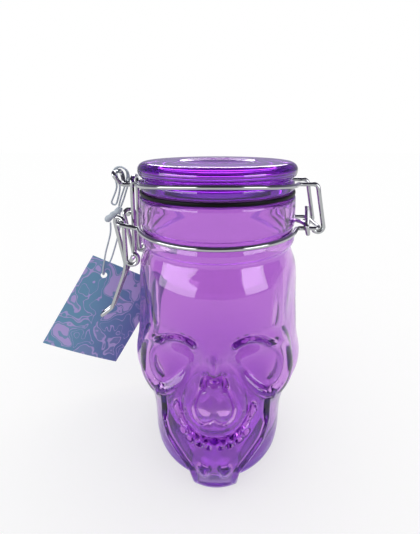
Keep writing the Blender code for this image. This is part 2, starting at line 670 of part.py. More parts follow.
def neck_wire_rear(finish):
    """Rear neck wire: pivot pin, the rear half round the neck, a turn round the hinge's leg."""
    z = NECK_WIRE_HEIGHT
    loop = HINGE_LOOP_HALF_WIDTH
    x = RING_RADIUS + CUFF_START
    half = pivot_pin(1)
    half += ring(leave_angle(LEG_LANE) - math.pi, -leave_angle(loop) / 2, z, 0.0)
    half += [
        (x, LANE - loop, z + LANE, WIRE_BEND),
        (x + CUFF_STEP, -loop - LANE, z + LANE, TIGHT_BEND),
        (x + 2 * CUFF_STEP, -loop - LANE, z - LANE, TIGHT_BEND),
        (x + 3 * CUFF_STEP, LANE - loop, z - LANE, TIGHT_BEND),
        (x + 3 * CUFF_STEP + STUB_OUTWARD, LANE - loop + STUB_LEAN, z + STUB_HEIGHT, 0.0),
    ]
    return tube("neck_wire_rear", bent(half), WIRE, finish)


def arm_direction(eye, wrap):
    """Angle of the arm, which leaves the eye on its left and meets the wrap on its right."""
    across = PIVOT[0] - FOOT[0]
    up = PIVOT[1] - FOOT[1]
    return math.atan2(up, across) - math.asin((eye + wrap) / math.hypot(across, up))


def clasp_lever(finish):
    """Lever of one wire: an eye round the link's pin, an arm, a turn over the pivot, the handle."""
    eye = WIRE + EYE_PLAY
    wrap = LANE
    along = arm_direction(eye, wrap)
    half = arc(FOOT, eye, math.radians(75), along + math.radians(90 - 360), -ARM_LANE, -ARM_LANE)
    knee = (-HANDLE_KNEE_REACH, HANDLE_KNEE_HEIGHT)
    down = math.atan2(knee[1] - PIVOT[1], knee[0] - PIVOT[0])
    down += math.asin(wrap / math.hypot(knee[0] - PIVOT[0], knee[1] - PIVOT[1]))
    leave = down + math.radians(270)
    half += arc(PIVOT, wrap, along - math.radians(90), leave, -ARM_LANE, -HANDLE_LANE)
    half += [
        (knee[0], -HANDLE_LANE, knee[1], HANDLE_KNEE_BEND),
        (-HANDLE_WAIST_REACH, -LANE, HANDLE_WAIST_HEIGHT, HANDLE_WAIST_BEND),
        (-HANDLE_ELBOW_REACH, -HANDLE_TIP_LANE, HANDLE_ELBOW_HEIGHT, HANDLE_ELBOW_BEND),
    ]
    half += handle_tip()
    points = bent(half + mirrored(half)[1:])
    return tube("clasp_lever", points, WIRE, finish, (PIVOT[0], 0.0, PIVOT[1]))


def handle_tip():
    """Half of the round end of the handle, from the strand to the middle."""
    run = (HANDLE_ELBOW_REACH - HANDLE_TIP_REACH, HANDLE_TIP_HEIGHT - HANDLE_ELBOW_HEIGHT)
    length = math.hypot(*run)
    out = []
    for step in range(4):
        angle = math.radians(90) * step / 3
        ahead = HANDLE_TIP_LANE * math.sin(angle) / length
        x = -HANDLE_TIP_REACH + run[0] * ahead
        z = HANDLE_TIP_HEIGHT + run[1] * ahead
        out.append((x, -HANDLE_TIP_LANE * math.cos(angle), z, 0.0))
    return out


def clasp_link(finish):
    """Wire link: its lower ends turn outwards through the lever's eyes, its bar crosses the nose."""
    top = CROOK_HEIGHT + LANE + LINK_SLACK
    half = [
        (-LINK_REACH, -ARM_LANE - LINK_PIN_OVERHANG, LINK_FOOT_HEIGHT, 0.0),
        (-LINK_REACH, -LINK_LANE, LINK_FOOT_HEIGHT, TIGHT_BEND),
        (-LINK_REACH, -LINK_LANE, top, WIRE_BEND),
    ]
    foot = (FOOT[0], 0.0, FOOT[1])
    return tube("clasp_link", bent(half + mirrored(half)), WIRE, finish, foot)


def tag(finish):
    """Card with a round hole near one corner, hanging askew and turned partly to the side."""
    left = -TAG_HOLE_FROM_SIDE
    right = TAG_WIDTH - TAG_HOLE_FROM_SIDE
    top = TAG_HOLE_FROM_TOP
    bottom = TAG_HOLE_FROM_TOP - TAG_LENGTH
    corners = ((right, bottom), (right, top), (left, top), (left, bottom))
    count = 4 * 5
    outer = []
    for side in range(4):
        start = np.array(corners[side])
        end = np.array(corners[(side + 1) % 4])
        for step in range(5):
            outer.append(start + (end - start) * step / 5)
    outer = np.array(outer)
    angle = np.arctan2(outer[:, 1], outer[:, 0])
    inner = TAG_HOLE_RADIUS * np.c_[np.cos(angle), np.sin(angle)]
    half = TAG_THICKNESS / 2
    flat = [(inner, -half), (outer, -half), (outer, half), (inner, half)]
    points = np.concatenate([np.c_[p[:, 0], np.full(count, d), p[:, 1]] for p, d in flat])
    faces = []
    for row in range(4):
        low = row * count
        high = (row + 1) % 4 * count
        for column in range(count):
            after = (column + 1) % count
            faces.append([low + column, high + column, high + after, low + after])
    roll = np.array(
        [
            [math.cos(TAG_ROLL), 0.0, math.sin(TAG_ROLL)],
            [0.0, 1.0, 0.0],
            [-math.sin(TAG_ROLL), 0.0, math.cos(TAG_ROLL)],
        ]
    )
    yaw = np.array(
        [
            [math.cos(TAG_YAW), -math.sin(TAG_YAW), 0.0],
            [math.sin(TAG_YAW), math.cos(TAG_YAW), 0.0],
            [0.0, 0.0, 1.0],
        ]
    )
    points = points @ roll.T @ yaw.T + np.array(TAG_HOLE_PLACE)
    mesh = mesh_from("hang_tag", points, faces, origin=KNOT_PLACE)
    return add_object("hang_tag", mesh, finish, KNOT_PLACE)


def smooth_route(points, per_span):
    """A smooth curve through the chosen points of a cord, as closer points."""
    table = np.asarray(points)
    run = np.r_[0.0, np.cumsum(np.linalg.norm(np.diff(table, axis=0), axis=1))]
    slope = np.gradient(table, run, axis=0)
    out = []
    for index in range(len(table) - 1):
        width = run[index + 1] - run[index]
        for step in range(per_span):
            t = step / per_span
            out.append(
                table[index] * (1 + 2 * t) * (1 - t) ** 2
                + slope[index] * width * t * (1 - t) ** 2
                + table[index + 1] * t * t * (3 - 2 * t)
                - slope[index + 1] * width * t * t * (1 - t)
            )
    return out + [table[-1]]


def knot(finish):
    """The cord's knot as one lump with two waists, along its own slanting axis."""
    start = np.array(KNOT_PLACE)
    axis = np.array(KNOT_END) - start
    length = np.linalg.norm(axis)
    axis /= length
    across = np.cross(axis, (0.0, 1.0, 0.0))
    across /= np.linalg.norm(across)
    beside = np.cross(axis, across)
    turn = np.arange(10) * math.tau / 10
    rings = []
    for along, share in KNOT_SHARES:
        middle = start + axis * (along * (length + 2 * KNOT_RADIUS) - KNOT_RADIUS)
        radius = KNOT_RADIUS * share
        ring_points = np.outer(np.cos(turn), across) + np.outer(np.sin(turn), beside)
        rings.append(middle + radius * ring_points)
    mesh = mesh_from("tag_cord_knot", *capped_grid(rings), origin=KNOT_PLACE)
    return add_object("tag_cord_knot", mesh, finish, KNOT_PLACE)


def main():
    for thing in list(bpy.data.objects):
        bpy.data.objects.remove(thing)
    glass = material("purple_glass", GLASS_COLOUR, 0.0, 0.03, 0.9)
    steel = material("steel_wire", STEEL_COLOUR, 1.0, 0.18)
    rubber = material("black_rubber", RUBBER_COLOUR, 0.0, 0.5)
    paper = material("printed_card", PAPER_COLOUR, 0.0, 0.6)
    elastic = material("elastic_cord", CORD_COLOUR, 0.2, 0.5)
    jar_body(glass)
    neck_wire_front(steel)
    neck_wire_rear(steel)
    lid_glass(glass)
    gasket(rubber)
    lid_hoop(steel)
    clasp_lever(steel)
    clasp_link(steel)
    tag(paper)
    tube("tag_cord_loop", smooth_route(CORD_LOOP_POINTS, 2), CORD, elastic)
    tube("tag_cord_drop", smooth_route(CORD_DROP_POINTS, 2), CORD, elastic, KNOT_PLACE)
    knot(elastic)


main()
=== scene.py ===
"""Looks of the clip-top skull jar: purple glass, bright wire, rubber gasket, card tag on a cord.

The jar stands on z = 0, its face along -Y, the clasp at -X and the hinge at +X, in metres.
"""

import math

import bpy
import numpy as np
from mathutils import Matrix


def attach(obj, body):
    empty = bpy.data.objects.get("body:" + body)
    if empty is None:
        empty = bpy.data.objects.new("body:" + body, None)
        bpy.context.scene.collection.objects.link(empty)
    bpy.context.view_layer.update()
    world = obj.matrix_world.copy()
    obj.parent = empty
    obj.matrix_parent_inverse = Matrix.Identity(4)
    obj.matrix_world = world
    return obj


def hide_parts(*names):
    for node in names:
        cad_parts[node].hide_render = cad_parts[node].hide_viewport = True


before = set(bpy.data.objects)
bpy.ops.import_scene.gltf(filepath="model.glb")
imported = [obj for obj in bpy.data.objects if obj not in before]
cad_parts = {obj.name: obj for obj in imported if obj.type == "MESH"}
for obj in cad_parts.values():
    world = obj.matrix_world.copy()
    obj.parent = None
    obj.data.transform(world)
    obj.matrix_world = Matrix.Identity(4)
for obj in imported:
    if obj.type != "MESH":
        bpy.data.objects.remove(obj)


def write_size():
    """Updates the view layer."""
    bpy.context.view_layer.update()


write_size()

# Glass jar, from the table up
SKULL_HEIGHT = 0.098
SKULL_BULGE = 0.0021
JAR_FLOOR = 0.007
JAR_WALL = 0.0036
BEAD_RISE = 0.0039
BEAD_HALF_HEIGHT = 0.0022
NECK_WIRE_RISE = 0.0043
RIM_RISE = 0.0149
NECK_RADIUS = 0.0364
NECK_WALL = 0.0042
NECK_ROUNDING = 0.0012
NECK_NOTCH_DEPTH = 0.0022
WIRE_GROOVE_HALF_HEIGHT = 0.0015
WIRE_GROOVE_DEPTH = 0.0007

# Glass lid and gasket, from the jar's rim and neck
LID_GAP = 0.0003
PLUG_PLAY = 0.0037
PLUG_DEPTH = 0.0040
PLUG_CHAMFER = 0.001
PLUG_RIM_WIDTH = 0.0045
PLUG_HOLLOW = 0.0032
GASKET_THICKNESS = 0.002
GASKET_PLAY = 0.0013
GASKET_INSET = 0.0003
LID_BAND_INSET = 0.0007
LID_BAND_HEIGHT = 0.0039
LID_WAIST_DEPTH = 0.0009
LID_WAIST_HEIGHT = 0.0012
LID_FLANGE_OVERHANG = 0.0005
LID_FLANGE_THICKNESS = 0.0072
LID_RECESS_RADIUS = 0.0187
LID_RECESS_DEPTH = 0.0006

# Steel wire and the play between neighbouring wires
WIRE = 0.002
WIRE_PLAY = 0.0003
HOOK_PLAY = 0.0005
WIRE_BEND = 0.0022
TIGHT_BEND = 0.0016

# Hinge, on the right
HINGE_REACH = 0.046
HINGE_LOOP_HALF_WIDTH = 0.0105
HINGE_LEG_HALF_WIDTH = 0.008
HINGE_LEG_LEAN = 0.0034
CUFF_START = 0.0013
CUFF_STEP = 0.0009
STUB_HEIGHT = 0.0088
STUB_LEAN = 0.0037
STUB_OUTWARD = 0.0006
RETURN_LEG_REACH = 0.0392

# Clasp, on the left: reaches are each measured from the link or the bend before, outwards
LINK_PLAY = 0.0004
LINK_FOOT_DROP = 0.015
LINK_PIN_OVERHANG = 0.0014
LINK_SLACK = 0.0012
EYE_PLAY = 0.0008
PIVOT_OFFSET = 0.0055
PIVOT_RISE = 0.0022
PIVOT_PIN_INSET = 0.0014
HANDLE_KNEE_RUN = 0.0037
HANDLE_KNEE_DROP = 0.0037
HANDLE_KNEE_BEND = 0.004
HANDLE_WAIST_RUN = 0.003
HANDLE_WAIST_DROP = 0.008
HANDLE_WAIST_BEND = 0.009
HANDLE_ELBOW_RUN = 0.0064
HANDLE_ELBOW_DROP = 0.0167
HANDLE_ELBOW_BEND = 0.005
HANDLE_TIP_RUN = 0.0046
HANDLE_TIP_DROP = 0.0038
HANDLE_TIP_LANE = 0.0016

# Lid hoop
HOOP_SEAT = 0.0022
HOOP_RISE = 0.0032
NOSE_NARROW_INSET = 0.0009
NOSE_CROOK_RUN = 0.0057
NOSE_TIP_RUN = 0.0026
NOSE_TIP_RISE = 0.0058
NOSE_FLARE = 0.0047
NOSE_ROOT_SPREAD = 0.0021

# Paper tag
TAG_WIDTH = 0.0425
TAG_LENGTH = 0.0535
TAG_THICKNESS = 0.0006
TAG_HOLE_RADIUS = 0.0017
TAG_HOLE_FROM_SIDE = 0.0106
TAG_HOLE_FROM_TOP = 0.0078
TAG_HOLE_PLACE = (-0.0633, 0.017, 0.0709)
TAG_ROLL = math.radians(31)
TAG_YAW = math.radians(18)

# Cord: its points are chosen along the way that it hangs
CORD = 0.0009
KNOT_RADIUS = 0.0019
KNOT_PLACE = (-0.0519, 0.0131, 0.1090)
KNOT_END = (-0.0579, 0.0130, 0.1042)
CORD_LOOP_POINTS = (
    (-0.0519, 0.0131, 0.1110), (-0.0504, 0.0116, 0.1150), (-0.0479, 0.0096, 0.1205),
    (-0.0456, 0.0076, 0.1258), (-0.0449, 0.0066, 0.1286), (-0.0450, 0.0058, 0.1305),
    (-0.0459, 0.0051, 0.1319), (-0.0473, 0.0049, 0.1325), (-0.0486, 0.0049, 0.1323),
    (-0.0496, 0.0052, 0.1313), (-0.0500, 0.0060, 0.1298), (-0.0500, 0.0070, 0.1272),
    (-0.0495, 0.0086, 0.1220), (-0.0509, 0.0101, 0.1168), (-0.0520, 0.0111, 0.1140),
    (-0.0528, 0.0118, 0.1126), (-0.0537, 0.0121, 0.1120), (-0.0546, 0.0118, 0.1124),
    (-0.0549, 0.0111, 0.1134), (-0.0541, 0.0103, 0.1152), (-0.0526, 0.0093, 0.1180),
    (-0.0508, 0.0079, 0.1225), (-0.0512, 0.0069, 0.1273), (-0.0513, 0.0061, 0.1296),
    (-0.0503, 0.0046, 0.1315), (-0.0489, 0.0038, 0.1324), (-0.0472, 0.0037, 0.1326),
    (-0.0455, 0.0040, 0.1319), (-0.0444, 0.0051, 0.1305), (-0.0441, 0.0064, 0.1284),
    (-0.0447, 0.0080, 0.1248), (-0.0469, 0.0101, 0.1195), (-0.0490, 0.0122, 0.1148),
    (-0.0510, 0.0137, 0.1108),
)
CORD_DROP_POINTS = (
    (-0.0571, 0.0141, 0.1019), (-0.0576, 0.0147, 0.0965), (-0.0593, 0.0150, 0.0902),
    (-0.0609, 0.0152, 0.0850), (-0.0620, 0.0153, 0.0800), (-0.0630, 0.0154, 0.0747),
    (-0.0634, 0.0160, 0.0720), (-0.0635, 0.0170, 0.0713), (-0.0633, 0.0180, 0.0720),
    (-0.0623, 0.0190, 0.0740), (-0.0602, 0.0195, 0.0782), (-0.0574, 0.0184, 0.0851),
    (-0.0555, 0.0176, 0.0905), (-0.0539, 0.0168, 0.0955), (-0.0525, 0.0160, 0.1015),
    (-0.0520, 0.0141, 0.1069),
)

# Knot: (share of its length, share of its radius)
KNOT_SHARES = (
    (0.01, 0.30), (0.07, 0.75), (0.17, 0.92), (0.28, 0.85), (0.37, 0.68), (0.45, 0.82),
    (0.55, 0.95), (0.64, 0.80), (0.72, 0.85), (0.82, 1.00), (0.93, 0.78), (0.99, 0.30),
)

# Outline of the skull's back and sides: (share of the skull's height, share of its radius)
SIDE_OUTLINE_SHARES = (
    (0.000, 0.765), (0.012, 0.792), (0.040, 0.808), (0.110, 0.818), (0.200, 0.832),
    (0.300, 0.870), (0.400, 0.940), (0.500, 0.978), (0.610, 1.000), (0.740, 1.003),
    (0.840, 0.995), (0.915, 0.965), (0.965, 0.918), (1.000, 0.888),
)
# Middle of the face: (share of height, forward share, turn at which it ends)
JAW_OUTLINE_SHARES = (
    (0.000, 0.075, 0.310), (0.050, 0.108, 0.310), (0.085, 0.132, 0.320), (0.125, 0.150, 0.370),
    (0.170, 0.155, 0.490), (0.220, 0.145, 0.650), (0.290, 0.110, 0.710), (0.370, 0.045, 0.710),
    (0.460, 0.010, 0.710), (0.560, 0.000, 0.700), (0.680, 0.020, 0.700), (0.780, 0.035, 0.710),
    (0.900, 0.025, 0.730), (1.000, 0.000, 0.740),
)
# Face of the skull. Turns are in radians from the face's middle, heights and rises are
# shares of the skull's radius. A plate is (rise, lower edge, upper edge, outline), a stroke is
# (rise, half width, route) and a mound is (turn, height, half width, half height, rise).
FACE_PLATES_SHARES = (
    (0.048, 0.030, 0.090, ((0.16, 1.80), (0.50, 1.88), (0.82, 1.86), (1.02, 1.62), (1.11, 1.28),
                           (1.07, 1.04), (0.88, 0.93), (0.66, 0.97), (0.45, 1.12), (0.27, 1.30),
                           (0.14, 1.50))),
    (-0.105, 0.110, 0.120, ((0.16, 1.77), (0.36, 1.85), (0.56, 1.83), (0.76, 1.70), (0.93, 1.50),
                            (0.97, 1.26), (0.86, 1.07), (0.62, 1.06), (0.38, 1.22),
                            (0.20, 1.43))),
    (0.050, 0.020, 0.110, ((0.00, 1.60), (0.26, 1.50), (0.36, 1.30), (0.395, 1.07),
                           (0.365, 0.935), (0.270, 0.830), (0.14, 0.765), (0.00, 0.745),
                           (-0.14, 0.765), (-0.270, 0.830), (-0.365, 0.935), (-0.395, 1.07),
                           (-0.36, 1.30), (-0.26, 1.50))),
)
FACE_STROKES_SHARES = (
    (-0.080, 0.028, ((0.210, 1.790), (0.27, 1.822), (0.35, 1.832), (0.45, 1.815),
                     (0.54, 1.770), (0.62, 1.705))),
    (-0.100, 0.028, ((0.115, 1.325), (0.100, 1.380), (0.05, 1.410), (0.00, 1.405))),
    (-0.032, 0.018, ((0.140, 1.29), (0.180, 1.19), (0.205, 1.09), (0.180, 0.99),
                     (0.120, 0.935), (0.05, 0.940), (0.00, 0.985))),
    (-0.062, 0.018, ((0.430, 1.05), (0.378, 0.900), (0.275, 0.793), (0.145, 0.725),
                     (0.00, 0.708))),
    (0.044, 0.018, ((0.455, 1.00), (0.370, 0.850), (0.275, 0.752), (0.15, 0.690),
                    (0.00, 0.678))),
    (-0.060, 0.024, ((0.620, 1.04), (0.610, 0.78))),
    (0.026, 0.028, ((0.23, 0.10), (0.26, 0.30), (0.39, 0.45), (0.55, 0.60), (0.63, 0.78))),
)
FACE_MOUNDS_SHARES = (
    (0.385, 1.475, 0.275, 0.262, -0.134),
    (0.000, 1.590, 0.050, 0.130, 0.034),
    (0.000, 1.155, 0.110, 0.150, 0.034),
    (0.110, 1.075, 0.070, 0.115, 0.040),
    (1.150, 1.950, 0.280, 0.340, -0.055),
    (1.550, 1.020, 0.450, 0.330, 0.105),
    (0.115, 0.325, 0.055, 0.080, 0.038),
    (0.000, 0.040, 0.260, 0.040, 0.020),
)
TEETH_ROUTE_SHARES = ((0.00, 0.628), (0.17, 0.655), (0.28, 0.705), (0.37, 0.790))
TEETH_GAP_SHARE = 0.105
TEETH_DEPTH_SHARE = 0.065
TEETH_HALF_HEIGHT_SHARE = 0.036
JAW_EDGE_SHARE = 0.045
INNER_FOLLOW_SHARE = 0.95
FACE_TURN = math.radians(-2)
# Least wall where a crease of the face is deep, and the lens-like dish under the lid's recess
JAR_LEAST_WALL = 0.0015
LID_DISH = 0.0011
# Where the arc of the lid's flange ends, on its lower side
FLANGE_END = math.radians(-64)
# The printed card is drawn thinner than the solid that stands for it
CARD_THICKNESS_SHARE = 0.5
# How far the tag's lower right corner curls to the back, and where on the card the curl starts
TAG_CURL = 0.003
TAG_CURL_START_SHARE = 0.15

# Steepness of the face's forms: the powers in their formulas, and how fast the teeth start
MOUND_POWER = 1.2
TEETH_GAP_POWER = 1.5
TEETH_START_STEEPNESS = 12
# The jaw's soft edge grows by this much over the forehead, from a share of the skull's height on
JAW_EDGE_GROWTH_SHARE = 1.5
JAW_EDGE_GROWTH_FROM_SHARE = 0.7
JAW_EDGE_GROWTH_OVER_SHARE = 0.1
JAW_LAST_TURN = 1.5
# Wires: where a leg turns off the ring past its bend, and where the hook and the eye start
LEG_BEND_SHARE = 1.3
HOOK_START = math.radians(-150)
EYE_START = math.radians(75)

# Fineness of the meshes. The jar's grid stays under 200,000 triangles, most of them on the face
SKULL_COLUMNS = 300
COLUMN_SPREAD_SHARE = 0.42
FACE_TOP_SHARE = 0.77
FACE_ROWS = 160
CROWN_ROWS = 18
INNER_FACE_ROWS = 72
FOOT_ROWS = 5
FLOOR_ROWS = 6
TURNED_STEPS = 200
DISH_STEPS = 12
FLANGE_STEPS = 30
RING_STEPS = 160
BEND_STEP = math.radians(9)
TUBE_SIDE_STEPS = 6
CORD_SPAN_STEPS = 6
TAG_SIDE_STEPS = 48
TAG_ROWS = 40
KNOT_SIDES = 10
HANDLE_TIP_STEPS = 3
CORNER_CUTS = 2
SHARP_ANGLE = math.radians(50)

BODY = {
    "jar_body": "jar", "neck_wire_front": "jar", "neck_wire_rear": "jar",
    "lid_glass": "lid", "lid_gasket": "lid", "lid_hoop": "lid", "tag_cord_loop": "lid",
    "clasp_lever": "lever", "clasp_link": "link",
    "hang_tag": "tag", "tag_cord_drop": "tag", "tag_cord_knot": "tag",
}

# Places that follow from the sizes above
LANE = WIRE + WIRE_PLAY
NOSE_LANE = LANE
LINK_LANE = 2 * LANE
HANDLE_LANE = 3 * LANE
ARM_LANE = 4 * LANE
LEG_LANE = 5 * LANE
SKULL_RADIUS = NECK_RADIUS + SKULL_BULGE
RING_RADIUS = NECK_RADIUS + WIRE / 2 - WIRE_PLAY
BEAD_HEIGHT = SKULL_HEIGHT + BEAD_RISE
NECK_WIRE_HEIGHT = BEAD_HEIGHT + NECK_WIRE_RISE
JAR_RIM_HEIGHT = NECK_WIRE_HEIGHT + RIM_RISE
NECK_BORE_RADIUS = NECK_RADIUS - NECK_WALL
NECK_NOTCH_RADIUS = NECK_RADIUS - NECK_NOTCH_DEPTH
PLUG_RADIUS = NECK_BORE_RADIUS - PLUG_PLAY
GASKET_BORE_RADIUS = PLUG_RADIUS + GASKET_PLAY
GASKET_RADIUS = NECK_RADIUS - GASKET_INSET
GASKET_BOTTOM = JAR_RIM_HEIGHT + LID_GAP
LID_BAND_RADIUS = NECK_RADIUS - LID_BAND_INSET
LID_FLANGE_RADIUS = NECK_RADIUS + LID_FLANGE_OVERHANG
LID_BOTTOM = GASKET_BOTTOM + GASKET_THICKNESS + LID_GAP
LID_FLANGE_MIDDLE = LID_BOTTOM + LID_BAND_HEIGHT + LID_WAIST_HEIGHT + LID_FLANGE_THICKNESS / 2
LINK_REACH = RING_RADIUS + WIRE + LINK_PLAY
LINK_FOOT_HEIGHT = NECK_WIRE_HEIGHT - LINK_FOOT_DROP
FOOT = (-LINK_REACH, LINK_FOOT_HEIGHT)
PIVOT = (-LINK_REACH - PIVOT_OFFSET, NECK_WIRE_HEIGHT + PIVOT_RISE)
HANDLE_KNEE_REACH = LINK_REACH + HANDLE_KNEE_RUN
HANDLE_KNEE_HEIGHT = LINK_FOOT_HEIGHT - HANDLE_KNEE_DROP
HANDLE_WAIST_REACH = HANDLE_KNEE_REACH + HANDLE_WAIST_RUN
HANDLE_WAIST_HEIGHT = HANDLE_KNEE_HEIGHT - HANDLE_WAIST_DROP
HANDLE_ELBOW_REACH = HANDLE_WAIST_REACH + HANDLE_ELBOW_RUN
HANDLE_ELBOW_HEIGHT = HANDLE_WAIST_HEIGHT - HANDLE_ELBOW_DROP
HANDLE_TIP_REACH = HANDLE_ELBOW_REACH + HANDLE_TIP_RUN
HANDLE_TIP_HEIGHT = HANDLE_ELBOW_HEIGHT - HANDLE_TIP_DROP
HOOP_SIDE_HEIGHT = LID_BOTTOM + HOOP_SEAT
CROOK_HEIGHT = HOOP_SIDE_HEIGHT - WIRE / 2
NOSE_NARROW_REACH = LINK_REACH - NOSE_NARROW_INSET
NOSE_CROOK_REACH = LINK_REACH + NOSE_CROOK_RUN
NOSE_TIP_REACH = NOSE_CROOK_REACH + NOSE_TIP_RUN

# Glass. Below its high place the surface colour deepens and darkens down to its low one, a painted
# shade on the jar's lower part and the lid's plug, and the colour in its depth darkens the thick
# base, the creases and the edges
GLASS_IOR = 1.5
GLASS_ROUGHNESS = 0.05
GLASS_DEPTH = "#cb3fe4"
# The jar's low colour is painted shade: up to the top height its surface is drawn deeper and darker
# than its glass
JAR_STAIN_WITH_PAINTED_SHADE = "#be70e0"
JAR_STAIN_HIGH = "#dcb0ea"
JAR_PAINTED_SHADE_TOP = 0.048
JAR_DENSITY = 45.0
# The lid's low colour is painted shade: the plug is drawn darker than the lid above it
LID_STAIN_WITH_PAINTED_SHADE = "#8a4cc0"
LID_STAIN_HIGH = "#c488e0"
LID_DENSITY = 34.0

# Wire, rubber and cord
STEEL = "#aeb0b2"
STEEL_ROUGHNESS = 0.12
RUBBER = "#08080b"
RUBBER_ROUGHNESS = 0.4
RUBBER_SPECULAR = 0.10
CORD_COLOUR = "#c2cdd8"
CORD_ROUGHNESS = 0.5

# Printed card: marbling of swirls and veins. A vein is a band of the swirl, as (place, strength)
CARD_TEAL = "#70a2c6"
CARD_VIOLET = "#6c74be"
CARD_LILAC = "#c2b0ec"
CARD_TEAL_SHARE = 0.25
CARD_ROUGHNESS = 0.55
CARD_SWIRL = 0.01417
CARD_SWIRL_DETAIL = 0.8
CARD_WARP = 0.0125
CARD_WARP_DETAIL = 1.5
CARD_WARP_SHARES = (1.1, 0.7, 0.0)
CARD_VEINS = (
    (0.000, 0.00), (0.385, 0.00), (0.391, 0.90), (0.407, 0.90), (0.413, 0.00), (0.545, 0.00),
    (0.551, 1.00), (0.569, 1.00), (0.575, 0.15), (0.612, 0.15), (0.618, 1.00), (1.000, 1.00),
)

# Floor and room: white to the camera, darker in front of the jar, as (place from -1 to 1, level)
FLOOR_SIZE = 6.0
FLOOR_DROP = 0.0001
FLOOR_COLOUR = "#b3b3b3"
FLOOR_GLOW = 0.55
ROOM_WHITE = "#ffffff"
ROOM_TINT = "#dad0f4"
ROOM_BY_HEIGHT = ((-1.0, 1.0), (0.05, 1.0), (0.25, 0.62), (0.6, 0.45), (1.0, 0.40))
ROOM_BY_DEPTH = ((-1.0, 0.15), (-0.5, 0.20), (0.0, 0.35), (0.4, 0.5), (1.0, 0.6))
GLASS_SEES_BY_DEPTH = ((-1.0, 0.10), (-0.35, 0.20), (0.0, 0.75), (0.25, 1.0), (1.0, 1.0))
LIGHT_BOUNCES = 64
# Soft boxes: name, place, width, height, watts
LAMP_TARGET = (0.0, 0.0, 0.09)
SOFT_BOXES = (
    ("soft_box_left", (-0.72, -0.50, 0.26), 0.95, 0.36, 5.4),
    ("soft_box_right", (0.66, -0.55, 0.28), 0.50, 0.34, 2.8),
    ("soft_box_back", (0.0, 0.62, 0.48), 0.60, 0.30, 3.5),
)

# Camera of the photograph, worked out from the curves of its rings
CAMERA_BACK = 0.1422
CAMERA_HEIGHT = 0.1462
CAMERA_PITCH = math.radians(8)
FOCAL_PX = 301.7
PHOTO_LONG_SIDE_PX = 534
PHOTO_SHIFT_X_PX = -7.6
PHOTO_SHIFT_Y_PX = -86.0
SENSOR_WIDTH_MM = 36.0


def linear(code):
    """Linear colour, with alpha 1, of an sRGB hex code."""
    parts = [int(code[i : i + 2], 16) / 255 for i in (1, 3, 5)]
    return (*[c / 12.92 if c <= 0.04045 else ((c + 0.055) / 1.055) ** 2.4 for c in parts], 1.0)


def node(tree, kind, links=(), **values):
    """Adds a node. links are (input, source socket) pairs; values set inputs or properties.

    The colours of a Mix node are its inputs 6 and 7, and its mixed colour is its output 2.
    """
    made = tree.nodes.new(kind)
    for name, value in values.items():
        if hasattr(made, name):
            setattr(made, name, value)
        else:
            made.inputs[name.replace("_", " ")].default_value = value
    for name, source in links:
        tree.links.new(source, made.inputs[name])
    return made


def new_material(name, **values):
    """A material with its tree and its Principled shader, whose inputs take the values."""
    made = bpy.data.materials.new(name)
    made.use_nodes = True
    shader = made.node_tree.nodes["Principled BSDF"]
    for value_name, value in values.items():
        shader.inputs[value_name.replace("_", " ")].default_value = value
    return made, made.node_tree, shader


def add_piece(name, data, finish):
    """Links a finished piece, which rides on its body and stands for its CAD node."""
    material, slot = finish
    data.materials.append(material)
    made = bpy.data.objects.new(name + "_fine", data)
    bpy.context.scene.collection.objects.link(made)
    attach(made, BODY[name])
    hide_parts(name)
    return made


def grid_mesh(name, rings, joined=False, sharp_angle=None):
    """Mesh of a grid of points (row, column, xyz) whose columns run round.

    Each quad joins two neighbours of a row to the same two of the next row. joined closes the
    last row onto the first, and otherwise one flat face fills each of these two rows.
    """
    rows, columns = rings.shape[:2]
    low = np.arange(rows if joined else rows - 1)[:, None] * columns
    high = (low + columns) % (rows * columns)
    column = np.arange(columns)
    after = np.roll(column, -1)
    quads = np.stack([low + column, low + after, high + after, high + column], -1)
    faces = quads.reshape(-1, 4).tolist()
    if not joined:
        faces.append(column[::-1].tolist())
        faces.append((high[-1] + column).tolist())
    mesh = bpy.data.meshes.new(name + "_fine")
    mesh.from_pydata(rings.reshape(-1, 3).tolist(), [], faces)
    mesh.update()
    mesh.shade_smooth()
    if sharp_angle:
        mesh.set_sharp_from_angle(angle=sharp_angle)
    return mesh


def turned(profile):
    """Rings of a turned piece: x and y are the radius by cosine and sine, z is the height."""
    turn = np.arange(TURNED_STEPS) * math.tau / TURNED_STEPS
    radius, height = np.asarray(profile).T[..., None]
    return np.stack([radius * np.cos(turn), radius * np.sin(turn), height + 0 * turn], -1)


def tube(name, points, thickness, finish):
    """Round wire or cord: a curve through its points, with a circle carried along it."""
    curve = bpy.data.curves.new(name + "_fine", "CURVE")
    curve.dimensions = "3D"
    curve.bevel_depth = thickness / 2
    curve.bevel_resolution = TUBE_SIDE_STEPS
    curve.use_fill_caps = True
    spline = curve.splines.new("POLY")
    spline.points.add(len(points) - 1)
    spline.points.foreach_set("co", np.c_[points, np.ones(len(points))].ravel())
    spline.use_smooth = True
    return add_piece(name, curve, finish)


def wire(name, stations, finish):
    """Steel wire, bent along its stations."""
    return tube(name, bent(stations), WIRE, finish)


def rounded(profile, times=CORNER_CUTS):
    """Cuts each corner of an open profile by a quarter of its sides, so many times."""
    profile = np.asarray(profile)
    for _ in range(times):
        near = profile[:-1] * 0.75 + profile[1:] * 0.25
        far = profile[:-1] * 0.25 + profile[1:] * 0.75
        middle = np.stack([near, far], axis=1).reshape(-1, 2)
        profile = np.concatenate([profile[:1], middle[1:-1], profile[-1:]])
    return profile


